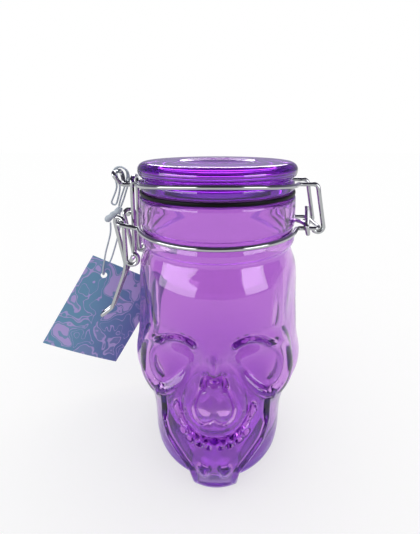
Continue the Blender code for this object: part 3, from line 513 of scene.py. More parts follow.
def smooth_between(table, places):
    """Cubic curve through the rows of a table, eased so that it never overshoots a row."""
    table = np.asarray(table)
    x = table[:, 0]
    out = []
    for column in table[:, 1:].T:
        slope = np.gradient(column, x)
        rise = np.diff(column) / np.diff(x)
        turning = np.r_[False, rise[1:] * rise[:-1] <= 0, False]
        slope[turning] = 0.0
        cell = np.clip(np.searchsorted(x, places, side="right") - 1, 0, len(x) - 2)
        width = x[cell + 1] - x[cell]
        t = np.clip((places - x[cell]) / width, 0.0, 1.0)
        out.append(
            column[cell] * (1 + 2 * t) * (1 - t) ** 2
            + slope[cell] * width * t * (1 - t) ** 2
            + column[cell + 1] * t * t * (3 - 2 * t)
            - slope[cell + 1] * width * t * t * (1 - t)
        )
    return out


def to_route(turn, height, route):
    """Distance to the nearest point of a route over the surface, and how far along that is."""
    nearest = np.full(turn.shape, np.inf)
    along = np.zeros(turn.shape)
    walked = 0.0
    for start, end in zip(route[:-1], route[1:]):
        step_x = end[0] - start[0]
        step_y = end[1] - start[1]
        length = math.hypot(step_x, step_y)
        share = ((turn - start[0]) * step_x + (height - start[1]) * step_y) / length**2
        share = np.clip(share, 0.0, 1.0)
        gap = np.hypot(turn - start[0] - share * step_x, height - start[1] - share * step_y)
        along = np.where(gap < nearest, walked + share * length, along)
        nearest = np.minimum(gap, nearest)
        walked += length
    return nearest, along


def within(turn, height, outline):
    """Distance inside a closed outline, negative outside it."""
    closed = np.array(outline)
    for _ in range(CORNER_CUTS):
        after = np.roll(closed, -1, axis=0)
        pairs = np.stack([closed * 0.75 + after * 0.25, closed * 0.25 + after * 0.75], axis=1)
        closed = pairs.reshape(-1, 2)
    closed = np.concatenate([closed, closed[:1]])
    gap, _ = to_route(turn, height, closed)
    inside = np.zeros(turn.shape, bool)
    for start, end in zip(closed[:-1], closed[1:]):
        if start[1] != end[1]:
            cross = start[0] + (height - start[1]) * (end[0] - start[0]) / (end[1] - start[1])
            inside ^= ((height < start[1]) != (height < end[1])) & (turn < cross)
    return np.where(inside, gap, -gap)


def soft_step(value):
    """Zero below -1, one above 1, smooth between."""
    t = np.clip((value + 1) / 2, 0.0, 1.0)
    return t * t * (3 - 2 * t)


def broad_relief(turn, height):
    """Orbits, cheekbones, nose and upper jaw: plates with soft edges, and mounds.

    A plate is its rise times a soft step of the depth inside its outline over its edge's width,
    and that width grows from the outline's foot to its top. Raised plates join as the greater of
    the two, and hollows add up. A mound is its rise times e to the minus q to MOUND_POWER, where
    q is the sum of the squares of both distances from its middle over its half sizes.
    """
    side = np.abs(turn)
    rise = np.zeros_like(turn)
    for amount, lower, upper, outline in FACE_PLATES_SHARES:
        heights = [point[1] for point in outline]
        upward = (height - min(heights)) / (max(heights) - min(heights))
        edge = lower + (upper - lower) * soft_step(2 * upward - 1)
        depth = within(side, height, outline)
        step = amount * soft_step(depth / edge - 1)
        rise = np.maximum(rise, step) if amount > 0 else rise + step
    for place, level, half_width, half_height, amount in FACE_MOUNDS_SHARES:
        across = (side - place) / half_width
        up = (height - level) / half_height
        rise = rise + amount * np.exp(-((across * across + up * up) ** MOUND_POWER))
    return rise


def fine_relief(turn, height):
    """Creases and ridges along routes, and the gaps of the lower row of teeth.

    A stroke is its rise times e to the minus square of the distance over its half width. The
    gaps are a power of the sine along the row, which e to the minus fourth power of the distance
    fades out above and below, and a soft step starts them beside the face's middle.
    """
    side = np.abs(turn)
    rise = np.zeros_like(turn)
    for amount, half_width, route in FACE_STROKES_SHARES:
        gap, _ = to_route(side, height, route)
        rise = rise + amount * np.exp(-((gap / half_width) ** 2))
    gap, along = to_route(side, height, TEETH_ROUTE_SHARES)
    between = np.abs(np.sin(math.pi * along / TEETH_GAP_SHARE)) ** TEETH_GAP_POWER
    dent = np.exp(-((gap / TEETH_HALF_HEIGHT_SHARE) ** 4))
    start = soft_step((side - TEETH_GAP_SHARE / 2) * TEETH_START_STEEPNESS)
    return rise - TEETH_DEPTH_SHARE * between * dent * start


def skull_radius(turn, height, inside=False):
    """Distance of the skull's surface from the axis. turn is the angle from the face's middle.

    It is the side outline at this height, plus the forward share of the jaw outline inside its
    spread, faded by the root of the turn's cosine, plus the relief, all times SKULL_RADIUS. The
    inner wall follows the broad forms by INNER_FOLLOW_SHARE, a wall further in.
    """
    level = height / SKULL_HEIGHT
    rise = height / SKULL_RADIUS
    (side,) = smooth_between(SIDE_OUTLINE_SHARES, level)
    forward, spread = smooth_between(JAW_OUTLINE_SHARES, level)
    growth = soft_step((level - JAW_EDGE_GROWTH_FROM_SHARE) / JAW_EDGE_GROWTH_OVER_SHARE)
    edge = JAW_EDGE_SHARE * (1 + JAW_EDGE_GROWTH_SHARE * growth)
    front = forward * soft_step((spread - np.abs(turn)) / edge)
    front = front * np.cos(np.clip(turn, -JAW_LAST_TURN, JAW_LAST_TURN)) ** 0.5
    broad = front + broad_relief(turn, rise)
    outer = SKULL_RADIUS * (side + broad + fine_relief(turn, rise))
    if not inside:
        return outer
    inner = SKULL_RADIUS * (side + INNER_FOLLOW_SHARE * broad) - JAR_WALL
    return np.minimum(inner, outer - JAR_LEAST_WALL)


def neck_profile():
    """Radius and height from the skull's top to the rim: notch, bead, wire groove, neck, rim."""
    groove = NECK_RADIUS - WIRE_GROOVE_DEPTH
    bead_low = BEAD_HEIGHT - BEAD_HALF_HEIGHT
    bead_high = BEAD_HEIGHT + BEAD_HALF_HEIGHT
    groove_high = NECK_WIRE_HEIGHT + WIRE_GROOVE_HALF_HEIGHT
    edge = NECK_ROUNDING
    return (
        (NECK_NOTCH_RADIUS + edge / 2, bead_low - edge / 4),
        (NECK_RADIUS - edge / 4, bead_low + edge / 2),
        (NECK_RADIUS, BEAD_HEIGHT),
        (NECK_RADIUS - edge / 4, bead_high - edge / 2),
        (groove, NECK_WIRE_HEIGHT - WIRE_GROOVE_HALF_HEIGHT),
        (groove, groove_high),
        (NECK_RADIUS - edge / 4, groove_high + edge / 2),
        (NECK_RADIUS, groove_high + edge),
        (NECK_RADIUS, JAR_RIM_HEIGHT - edge),
        (NECK_RADIUS - edge / 3, JAR_RIM_HEIGHT - edge / 3),
        (NECK_RADIUS - edge, JAR_RIM_HEIGHT),
        (NECK_BORE_RADIUS + edge, JAR_RIM_HEIGHT),
        (NECK_BORE_RADIUS, JAR_RIM_HEIGHT - edge),
        (NECK_BORE_RADIUS, BEAD_HEIGHT),
    )


def bent(stations):
    """Points of a wire through corners (x, y, z, bend radius). A radius of 0 keeps the point."""
    places = [np.array(station[:3]) for station in stations]
    out = [places[0]]
    for index in range(1, len(stations) - 1):
        radius = stations[index][3]
        here = places[index]
        into = here - places[index - 1]
        away = places[index + 1] - here
        into /= np.linalg.norm(into)
        away /= np.linalg.norm(away)
        angle = math.acos(np.clip(into @ away, -1.0, 1.0))
        if not radius or angle < BEND_STEP / 4:
            out.append(here)
            continue
        start = here - into * radius * math.tan(angle / 2)
        inward = away - into * (into @ away)
        inward /= np.linalg.norm(inward)
        centre = start + inward * radius
        count = max(2, math.ceil(angle / BEND_STEP))
        for step in range(count + 1):
            so_far = angle * step / count
            out.append(centre + radius * (into * math.sin(so_far) - inward * math.cos(so_far)))
    out.append(places[-1])
    return out


def arc(centre, radius, start, end, lane_start, lane_end):
    """Stations of an arc in an upright plane, which may drift sideways from lane to lane."""
    count = max(2, math.ceil(abs(end - start) / BEND_STEP))
    out = []
    for step in range(count + 1):
        share = step / count
        angle = start + (end - start) * share
        eased = share * share * (3 - 2 * share)
        lane = lane_start + (lane_end - lane_start) * eased
        x = centre[0] + radius * math.cos(angle)
        z = centre[1] + radius * math.sin(angle)
        out.append((x, lane, z, 0.0))
    return out


def ring(start, end, height, rise):
    """Stations round the neck, from one angle to another, higher at the front and the back."""
    out = []
    count = math.ceil(abs(end - start) / math.tau * RING_STEPS)
    for step in range(count + 1):
        angle = start + (end - start) * step / count
        z = height + rise * math.sin(angle) ** 2
        out.append((RING_RADIUS * math.cos(angle), -RING_RADIUS * math.sin(angle), z, 0.0))
    return out


def leave_angle(half_width):
    """Angle on the ring at which a leg of the given half width turns off, past its bend."""
    return math.asin(half_width / RING_RADIUS) + LEG_BEND_SHARE * WIRE_BEND / RING_RADIUS


def mirrored(stations):
    """The same stations on the other side of the plane y = 0, in the opposite order."""
    return [(x, -y, z, radius) for x, y, z, radius in reversed(stations)]


def ring_foot(half_width):
    """Distance from the axis at which the ring reaches a half width."""
    return math.sqrt(RING_RADIUS**2 - half_width**2)


def lid_hoop(finish):
    """Hoop round the lid: hinge hooks at the right, an upturned nose for the clasp at the left."""
    hook = WIRE + HOOK_PLAY
    centre = (HINGE_REACH, NECK_WIRE_HEIGHT)
    leg = HINGE_LEG_HALF_WIDTH
    root = NOSE_LANE + NOSE_ROOT_SPREAD
    side = HOOP_SIDE_HEIGHT
    tip = NOSE_LANE + NOSE_FLARE
    half = arc(centre, hook, HOOK_START, 0.0, -leg, -leg)
    half += [
        (HINGE_REACH + hook - HINGE_LEG_LEAN, -leg, side, WIRE_BEND),
        (ring_foot(leg), -leg, side, WIRE_BEND),
    ]
    half += ring(leave_angle(leg), math.pi - leave_angle(root), side, HOOP_RISE)
    half += [
        (-ring_foot(root), -root, side, TIGHT_BEND),
        (-NOSE_NARROW_REACH, -NOSE_LANE, CROOK_HEIGHT, WIRE_BEND),
        (-NOSE_CROOK_REACH, -NOSE_LANE, CROOK_HEIGHT, WIRE_BEND),
        (-NOSE_TIP_REACH, -tip, CROOK_HEIGHT + NOSE_TIP_RISE, TIGHT_BEND),
    ]
    return wire("lid_hoop", half + mirrored(half), finish)


def pivot_pin(side):
    """Clasp end of a neck wire: the pin that the lever turns on, and its leg. side is -1 or 1."""
    return [
        (PIVOT[0], side * (HANDLE_LANE - PIVOT_PIN_INSET + WIRE_PLAY), PIVOT[1], 0.0),
        (PIVOT[0], side * LEG_LANE, PIVOT[1], TIGHT_BEND),
        (-ring_foot(LEG_LANE), side * LEG_LANE, NECK_WIRE_HEIGHT, TIGHT_BEND),
    ]


def neck_wire_front(finish):
    """Front neck wire: pivot pin, the front half round the neck, then the hinge's bar and back."""
    z = NECK_WIRE_HEIGHT
    loop = HINGE_LOOP_HALF_WIDTH
    half = pivot_pin(-1)
    half += ring(math.pi - leave_angle(LEG_LANE), leave_angle(loop), z, 0.0)
    half += [
        (ring_foot(loop), -loop, z, WIRE_BEND),
        (HINGE_REACH, -loop, z, WIRE_BEND),
        (HINGE_REACH, loop, z, WIRE_BEND),
        (RETURN_LEG_REACH, loop, z, 0.0),
    ]
    return wire("neck_wire_front", half, finish)


def neck_wire_rear(finish):
    """Rear neck wire: pivot pin, the rear half round the neck, a turn round the hinge's leg."""
    z = NECK_WIRE_HEIGHT
    loop = HINGE_LOOP_HALF_WIDTH
    x = RING_RADIUS + CUFF_START
    half = pivot_pin(1)
    half += ring(leave_angle(LEG_LANE) - math.pi, -leave_angle(loop) / 2, z, 0.0)
    half += [
        (x, LANE - loop, z + LANE, WIRE_BEND),
        (x + CUFF_STEP, -loop - LANE, z + LANE, TIGHT_BEND),
        (x + 2 * CUFF_STEP, -loop - LANE, z - LANE, TIGHT_BEND),
        (x + 3 * CUFF_STEP, LANE - loop, z - LANE, TIGHT_BEND),
        (x + 3 * CUFF_STEP + STUB_OUTWARD, LANE - loop + STUB_LEAN, z + STUB_HEIGHT, 0.0),
    ]
    return wire("neck_wire_rear", half, finish)


def arm_direction(eye, wrap):
    """Angle of the arm, which leaves the eye on its left and meets the wrap on its right."""
    across = PIVOT[0] - FOOT[0]
    up = PIVOT[1] - FOOT[1]
    return math.atan2(up, across) - math.asin((eye + wrap) / math.hypot(across, up))


def clasp_lever(finish):
    """Lever of one wire: an eye round the link's pin, an arm, a turn over the pivot, the handle."""
    eye = WIRE + EYE_PLAY
    wrap = LANE
    along = arm_direction(eye, wrap)
    half = arc(FOOT, eye, EYE_START, along + math.radians(90 - 360), -ARM_LANE, -ARM_LANE)
    knee = (-HANDLE_KNEE_REACH, HANDLE_KNEE_HEIGHT)
    down = math.atan2(knee[1] - PIVOT[1], knee[0] - PIVOT[0])
    down += math.asin(wrap / math.hypot(knee[0] - PIVOT[0], knee[1] - PIVOT[1]))
    leave = down + math.radians(270)
    half += arc(PIVOT, wrap, along - math.radians(90), leave, -ARM_LANE, -HANDLE_LANE)
    half += [
        (knee[0], -HANDLE_LANE, knee[1], HANDLE_KNEE_BEND),
        (-HANDLE_WAIST_REACH, -LANE, HANDLE_WAIST_HEIGHT, HANDLE_WAIST_BEND),
        (-HANDLE_ELBOW_REACH, -HANDLE_TIP_LANE, HANDLE_ELBOW_HEIGHT, HANDLE_ELBOW_BEND),
    ]
    half += handle_tip()
    return wire("clasp_lever", half + mirrored(half)[1:], finish)


def handle_tip():
    """Half of the round end of the handle, from the strand to the middle."""
    run = (HANDLE_ELBOW_REACH - HANDLE_TIP_REACH, HANDLE_TIP_HEIGHT - HANDLE_ELBOW_HEIGHT)
    length = math.hypot(*run)
    out = []
    for step in range(HANDLE_TIP_STEPS + 1):
        angle = math.radians(90) * step / HANDLE_TIP_STEPS
        ahead = HANDLE_TIP_LANE * math.sin(angle) / length
        x = -HANDLE_TIP_REACH + run[0] * ahead
        z = HANDLE_TIP_HEIGHT + run[1] * ahead
        out.append((x, -HANDLE_TIP_LANE * math.cos(angle), z, 0.0))
    return out


def clasp_link(finish):
    """Wire link: its lower ends turn outwards through the lever's eyes, its bar crosses the nose."""
    top = CROOK_HEIGHT + LANE + LINK_SLACK
    half = [
        (-LINK_REACH, -ARM_LANE - LINK_PIN_OVERHANG, LINK_FOOT_HEIGHT, 0.0),
        (-LINK_REACH, -LINK_LANE, LINK_FOOT_HEIGHT, TIGHT_BEND),
        (-LINK_REACH, -LINK_LANE, top, WIRE_BEND),
    ]
    return wire("clasp_link", half + mirrored(half), finish)


def smooth_route(points, per_span):
    """A smooth cubic through the chosen points of a cord, as closer points.

    Between two points it blends both points and both slopes by the cubic Hermite weights.
    """
    table = np.asarray(points)
    run = np.r_[0.0, np.cumsum(np.linalg.norm(np.diff(table, axis=0), axis=1))]
    slope = np.gradient(table, run, axis=0)
    width = np.diff(run)[:, None, None]
    t = (np.arange(per_span) / per_span)[:, None]
    spans = (
        table[:-1, None] * (1 + 2 * t) * (1 - t) ** 2
        + slope[:-1, None] * width * t * (1 - t) ** 2
        + table[1:, None] * t * t * (3 - 2 * t)
        - slope[1:, None] * width * t * t * (1 - t)
    )
    return np.concatenate([spans.reshape(-1, 3), table[-1:]])


def knot(finish):
    """The cord's knot: round rings along its own slanting axis, their radii by KNOT_SHARES."""
    start = np.array(KNOT_PLACE)
    axis = np.array(KNOT_END) - start
    length = np.linalg.norm(axis)
    axis /= length
    across = np.cross(axis, (0.0, 1.0, 0.0))
    across /= np.linalg.norm(across)
    beside = np.cross(axis, across)
    turn = (np.arange(KNOT_SIDES) * math.tau / KNOT_SIDES)[:, None]
    along, share = np.array(KNOT_SHARES).T[..., None, None]
    middle = start + axis * (along * (length + 2 * KNOT_RADIUS) - KNOT_RADIUS)
    rings = middle + KNOT_RADIUS * share * (np.cos(turn) * across + np.sin(turn) * beside)
    return add_piece("tag_cord_knot", grid_mesh("tag_cord_knot", rings), finish)


def jar_body(finish):
    """Jar: foot, skull, neck, inner wall and floor as one grid of rings from the table up and in.

    A point lies at its radius times the sine and the cosine of its turn, and at its row's height.
    The turns crowd at the face's middle by a cubic. The foot and the floor's edge are quarter
    circles off the rows next to them: the radius loses 1 - sine or 1 - cosine of the quarter's
    angle times the rounding.
    """
    t = (np.arange(SKULL_COLUMNS) + 0.5) * 2 / SKULL_COLUMNS - 1
    turn = math.pi * (COLUMN_SPREAD_SHARE * t + (1 - COLUMN_SPREAD_SHARE) * t**3)
    foot = SKULL_HEIGHT * SIDE_OUTLINE_SHARES[1][0]
    face_top = SKULL_HEIGHT * FACE_TOP_SHARE
    bottom = JAR_FLOOR + JAR_WALL
    face = np.linspace(foot, face_top, FACE_ROWS)
    crown = np.linspace(face_top, SKULL_HEIGHT, CROWN_ROWS)
    inner_face = np.linspace(face_top, bottom, INNER_FACE_ROWS)
    outside = np.concatenate([face, crown[1:]])
    inside = np.concatenate([crown[::-1], inner_face[1:]])
    outer = skull_radius(*np.meshgrid(turn, outside))
    inner = skull_radius(*np.meshgrid(turn, inside), inside=True)
    neck_radius, neck_height = rounded(neck_profile()).T
    foot_angle = np.linspace(0.0, math.pi / 2, FOOT_ROWS + 1)[1:]
    floor_angle = np.linspace(0.0, math.pi / 2, FLOOR_ROWS + 1)[1:]
    radii = np.concatenate(
        [
            outer[:1] - foot * (1 - np.sin(foot_angle))[:, None],
            outer[1:],
            np.repeat(neck_radius[:, None], SKULL_COLUMNS, axis=1),
            inner,
            inner[-1:] - JAR_WALL * (1 - np.cos(floor_angle))[:, None],
        ]
    )
    heights = np.concatenate(
        [
            foot * (1 - np.cos(foot_angle)),
            outside[1:],
            neck_height,
            inside,
            JAR_FLOOR + JAR_WALL * (1 - np.sin(floor_angle)),
        ]
    )
    x = radii * np.sin(turn + FACE_TURN)
    y = -radii * np.cos(turn + FACE_TURN)
    rings = np.stack([x, y, np.repeat(heights[:, None], SKULL_COLUMNS, axis=1)], -1)
    return add_piece("jar_body", grid_mesh("jar_body", rings), finish)


def lid_glass(finish):
    """Lid: a turned profile. A dish in the recess, a round flange, a waist, a band and a plug.

    The dish sinks by one less the square of the radius share. The flange's edge is an arc.
    """
    top = LID_FLANGE_MIDDLE + LID_FLANGE_THICKNESS / 2
    round_radius = LID_FLANGE_THICKNESS / 2
    centre = LID_FLANGE_RADIUS - round_radius
    rounding = LID_WAIST_DEPTH / 2
    band_top = LID_BOTTOM + LID_BAND_HEIGHT
    plug_bottom = GASKET_BOTTOM - PLUG_DEPTH
    plug_rim = PLUG_RADIUS - PLUG_RIM_WIDTH
    share = np.arange(1, DISH_STEPS + 1) / DISH_STEPS
    dish_height = top - LID_RECESS_DEPTH - LID_DISH * (1 - share**2)
    angle = np.linspace(math.pi / 2, FLANGE_END, FLANGE_STEPS)
    flange_height = LID_FLANGE_MIDDLE + round_radius * np.sin(angle)
    profile = np.concatenate(
        [
            np.c_[(LID_RECESS_RADIUS - LID_RECESS_DEPTH) * share, dish_height],
            [
                (LID_RECESS_RADIUS, top),
                (LID_RECESS_RADIUS + 2 * LID_RECESS_DEPTH, top),
                (centre - rounding, top),
            ],
            np.c_[centre + round_radius * np.cos(angle), flange_height],
            [
                (LID_BAND_RADIUS - LID_WAIST_DEPTH, band_top + LID_WAIST_HEIGHT / 2),
                (LID_BAND_RADIUS - rounding / 2, band_top - rounding / 2),
                (LID_BAND_RADIUS, band_top - 2 * rounding),
                (LID_BAND_RADIUS, LID_BOTTOM + rounding),
                (LID_BAND_RADIUS - rounding, LID_BOTTOM),
                (PLUG_RADIUS + rounding, LID_BOTTOM),
                (PLUG_RADIUS, LID_BOTTOM - rounding),
                (PLUG_RADIUS, plug_bottom + PLUG_CHAMFER),
                (PLUG_RADIUS - PLUG_CHAMFER, plug_bottom),
                (plug_rim, plug_bottom),
                (plug_rim - PLUG_HOLLOW, plug_bottom + PLUG_HOLLOW),
                (plug_rim - 2 * PLUG_HOLLOW, plug_bottom + PLUG_HOLLOW),
            ],
        ]
    )
    mesh = grid_mesh("lid_glass", turned(rounded(profile)[::-1]))
    return add_piece("lid_glass", mesh, finish)


def lid_gasket(finish):
    """Flat rubber ring between the rim and the lid: a turned closed profile, its corners cut."""
    low = GASKET_BOTTOM
    high = GASKET_BOTTOM + GASKET_THICKNESS
    middle = (low + high) / 2
    edge = GASKET_THICKNESS / 5
    profile = (
        (GASKET_BORE_RADIUS, middle),
        (GASKET_BORE_RADIUS, high),
        (GASKET_RADIUS - edge, high),
        (GASKET_RADIUS, high - edge),
        (GASKET_RADIUS, low + edge),
        (GASKET_RADIUS - edge, low),
        (GASKET_BORE_RADIUS, low),
        (GASKET_BORE_RADIUS, middle),
    )
    rings = turned(rounded(profile)[:0:-1])
    return add_piece("lid_gasket", grid_mesh("lid_gasket", rings, joined=True), finish)


def hang_tag(finish):
    """Card with a round hole near one corner, its lower right corner curled to the back.

    Each row goes once round, from the hole's circle in the first row to the card's edge in the
    last, straight outwards between them, down the front and back on the rear face. The curl is
    TAG_CURL times the square of how far a point lies beyond the line where the curl starts.
    """
    right = TAG_WIDTH - TAG_HOLE_FROM_SIDE
    left = -TAG_HOLE_FROM_SIDE
    top = TAG_HOLE_FROM_TOP
    bottom = TAG_HOLE_FROM_TOP - TAG_LENGTH
    corners = np.array([(right, bottom), (right, top), (left, top), (left, bottom)])
    step = (np.arange(TAG_SIDE_STEPS) / TAG_SIDE_STEPS)[:, None]
    sides = (np.roll(corners, -1, axis=0) - corners)[:, None]
    edge = (corners[:, None] + sides * step).reshape(-1, 2)
    hole = TAG_HOLE_RADIUS * edge / np.linalg.norm(edge, axis=1)[:, None]
    share = np.linspace(0.0, 1.0, TAG_ROWS + 1)[:, None, None]
    flat = hole + (edge - hole) * share
    flat = np.concatenate([flat, flat[::-1]])
    u = (flat[..., 0] - left) / TAG_WIDTH
    v = (flat[..., 1] - bottom) / TAG_LENGTH
    half = TAG_THICKNESS * CARD_THICKNESS_SHARE / 2
    depth = np.repeat((-half, half), TAG_ROWS + 1)[:, None]
    depth = depth + TAG_CURL * np.clip(u - v - TAG_CURL_START_SHARE, 0.0, None) ** 2
    points = np.stack([flat[..., 0], depth, flat[..., 1]], -1)
    turn = Matrix.Rotation(TAG_YAW, 3, "Z") @ Matrix.Rotation(TAG_ROLL, 3, "Y")
    placed = points @ np.array(turn).T + np.array(TAG_HOLE_PLACE)
    mesh = grid_mesh("hang_tag", placed[::-1], joined=True, sharp_angle=SHARP_ANGLE)
    layer = mesh.uv_layers.new(name="card")
    corner = np.empty(len(mesh.loops), np.int32)
    mesh.loops.foreach_get("vertex_index", corner)
    places = np.stack([u, v], -1)[::-1].reshape(-1, 2)
    layer.data.foreach_set("uv", places[corner].ravel().astype(np.float32))
    return add_piece("hang_tag", mesh, finish)


def stained_glass(name, low_stain_with_painted_shade, low, high_stain, high, density):
    """Pressed soda-lime glass, stained purple: clear and glossy, darker where it is thick.

    The surface's colour runs from the stain at the high height down to a deeper, darker colour at
    the low one, a painted shade on the lower part, and the depth takes green away first, so that
    creases, edges and the base turn a deep violet.
    """
    made, tree, shader = new_material(
        name, Roughness=GLASS_ROUGHNESS, IOR=GLASS_IOR, Transmission_Weight=1.0
    )
    place = node(tree, "ShaderNodeTexCoord")
    parts = node(tree, "ShaderNodeSeparateXYZ", [("Vector", place.outputs["Object"])])
    level = node(
        tree, "ShaderNodeMapRange", [("Value", parts.outputs["Z"])], From_Min=low, From_Max=high
    )
    # Ramp from the painted shade colour at the low height to the glass's stain at the high one
    stain_and_shade_ramp = node(tree, "ShaderNodeValToRGB", [("Fac", level.outputs["Result"])])
    stain_and_shade_ramp.color_ramp.elements[0].color = linear(low_stain_with_painted_shade)
    stain_and_shade_ramp.color_ramp.elements[1].color = linear(high_stain)
    tree.links.new(stain_and_shade_ramp.outputs["Color"], shader.inputs["Base Color"])
    depth = node(tree, "ShaderNodeVolumeAbsorption", Color=linear(GLASS_DEPTH), Density=density)
    tree.links.new(depth.outputs["Volume"], tree.nodes["Material Output"].inputs["Volume"])
    return made, "purple_glass"


def printed_card():
    """Matt printed card: teal that turns to violet, with lilac veins and pools of marbling.

    The swirl is a noise whose cells are CARD_SWIRL wide, drawn at a place that another noise,
    with cells CARD_WARP wide, has moved, so its bands wind. Where the swirl's value falls in one
    of the CARD_VEINS the ground turns lilac.
    """
    made, tree, shader = new_material("printed_card_matt", Roughness=CARD_ROUGHNESS)
    place = node(tree, "ShaderNodeUVMap", uv_map="card")
    tall = (1.0, TAG_LENGTH / TAG_WIDTH, 1.0)
    square = node(tree, "ShaderNodeMapping", [("Vector", place.outputs["UV"])], Scale=tall)
    warp = node(tree, "ShaderNodeTexNoise", [("Vector", square.outputs["Vector"])])
    warp.inputs["Scale"].default_value = TAG_WIDTH / CARD_WARP
    warp.inputs["Detail"].default_value = CARD_WARP_DETAIL
    shift = [(0, warp.outputs["Color"]), (2, square.outputs["Vector"])]
    moved = node(tree, "ShaderNodeVectorMath", shift, operation="MULTIPLY_ADD")
    moved.inputs[1].default_value = CARD_WARP_SHARES
    swirl = node(tree, "ShaderNodeTexNoise", [("Vector", moved.outputs["Vector"])])
    swirl.inputs["Scale"].default_value = TAG_WIDTH / CARD_SWIRL
    swirl.inputs["Detail"].default_value = CARD_SWIRL_DETAIL
    veins = node(tree, "ShaderNodeValToRGB", [("Fac", swirl.outputs[0])])
    fill_ramp(veins, CARD_VEINS)
    parts = node(tree, "ShaderNodeSeparateXYZ", [("Vector", square.outputs["Vector"])])
    ground = node(tree, "ShaderNodeValToRGB", [("Fac", parts.outputs["X"])])
    ground.color_ramp.elements[0].position = CARD_TEAL_SHARE
    ground.color_ramp.elements[0].color = linear(CARD_TEAL)
    ground.color_ramp.elements[1].color = linear(CARD_VIOLET)
    print_links = [(0, veins.outputs["Color"]), (6, ground.outputs["Color"])]
    printed = node(tree, "ShaderNodeMix", print_links, data_type="RGBA")
    printed.inputs[7].default_value = linear(CARD_LILAC)
    tree.links.new(printed.outputs[2], shader.inputs["Base Color"])
    return made, "printed_card"


def fill_ramp(ramp_node, stops):
    """Greys of a colour ramp, as (place from 0 to 1, level)."""
    ramp = ramp_node.color_ramp
    for place, _ in stops[1:-1]:
        ramp.elements.new(place)
    for element, (place, level) in zip(ramp.elements, stops):
        element.position = place
        element.color = (level, level, level, 1.0)


def studio_world():
    """World seen as white by the camera and by matt surfaces, and dimmer in reflections.

    Its strength is the greatest of: 1 for camera rays, 1 for diffuse rays, GLASS_SEES_BY_DEPTH
    for rays through glass, and ROOM_BY_HEIGHT times ROOM_BY_DEPTH for all. Reflections see it
    in a pale lavender, as a room that holds the purple glass gives it.
    """
    world = bpy.data.worlds.new("studio")
    world.use_nodes = True
    bpy.context.scene.world = world
    tree = world.node_tree
    back = tree.nodes["Background"]
    ray = node(tree, "ShaderNodeLightPath")
    place = node(tree, "ShaderNodeTexCoord")
    parts = node(tree, "ShaderNodeSeparateXYZ", [("Vector", place.outputs["Generated"])])
    levels = []
    for axis, stops in (("Z", ROOM_BY_HEIGHT), ("Y", ROOM_BY_DEPTH), ("Y", GLASS_SEES_BY_DEPTH)):
        span = node(tree, "ShaderNodeMapRange", [("Value", parts.outputs[axis])], From_Min=-1.0)
        level = node(tree, "ShaderNodeValToRGB", [("Fac", span.outputs["Result"])])
        fill_ramp(level, [((at + 1) / 2, grey) for at, grey in stops])
        levels.append(level.outputs["Color"])
    by_height, by_depth, through_glass = levels
    room = node(tree, "ShaderNodeMath", [(0, by_height), (1, by_depth)], operation="MULTIPLY")
    glass_links = [(0, through_glass), (1, ray.outputs["Is Transmission Ray"])]
    seen = node(tree, "ShaderNodeMath", glass_links, operation="MULTIPLY").outputs[0]
    for other in (ray.outputs["Is Camera Ray"], ray.outputs["Is Diffuse Ray"], room.outputs[0]):
        most = node(tree, "ShaderNodeMath", [(0, seen), (1, other)], operation="MAXIMUM")
        seen = most.outputs[0]
    tree.links.new(seen, back.inputs["Strength"])
    tint = node(tree, "ShaderNodeMix", [(0, ray.outputs["Is Glossy Ray"])], data_type="RGBA")
    tint.inputs[6].default_value = linear(ROOM_WHITE)
    tint.inputs[7].default_value = linear(ROOM_TINT)
    tree.links.new(tint.outputs[2], back.inputs["Color"])


def studio_floor():
    """White floor that keeps the jar's shadow, with a glow for all rays but the diffuse ones."""
    half = FLOOR_SIZE / 2
    low = -FLOOR_DROP
    corners = [(-half, -half, low), (half, -half, low), (half, half, low), (-half, half, low)]
    mesh = bpy.data.meshes.new("floor")
    mesh.from_pydata(corners, [], [(0, 1, 2, 3)])
    floor = bpy.data.objects.new("floor", mesh)
    bpy.context.scene.collection.objects.link(floor)
    made, tree, shader = new_material(
        "white_floor",
        Base_Color=linear(FLOOR_COLOUR),
        Roughness=1.0,
        Specular_IOR_Level=0.0,
        Emission_Color=linear(ROOM_WHITE),
    )
    ray = node(tree, "ShaderNodeLightPath")
    seen = ray.outputs["Is Camera Ray"]
    for other in ("Is Glossy Ray", "Is Transmission Ray"):
        either = [(0, seen), (1, ray.outputs[other])]
        most = node(tree, "ShaderNodeMath", either, operation="MAXIMUM")
        seen = most.outputs[0]
    glow = node(tree, "ShaderNodeMath", [(0, seen)], operation="MULTIPLY")
    glow.inputs[1].default_value = FLOOR_GLOW
    tree.links.new(glow.outputs[0], shader.inputs["Emission Strength"])
    mesh.materials.append(made)


def soft_boxes():
    """Soft boxes over the front and behind, which show in the glass and the wire only."""
    for name, place, width, height, watts in SOFT_BOXES:
        light = bpy.data.lights.new(name, "AREA")
        light.shape = "RECTANGLE"
        light.size = width
        light.size_y = height
        light.energy = watts
        lamp = bpy.data.objects.new(name, light)
        lamp.location = place
        lamp.visible_diffuse = False
        lamp.visible_camera = False
        toward = np.array(LAMP_TARGET) - np.array(place)
        lift = math.atan2(toward[2], math.hypot(toward[0], toward[1]))
        turn = math.atan2(toward[1], toward[0]) - math.pi / 2
        lamp.rotation_euler = (math.pi / 2 + lift, 0.0, turn)
        bpy.context.scene.collection.objects.link(lamp)


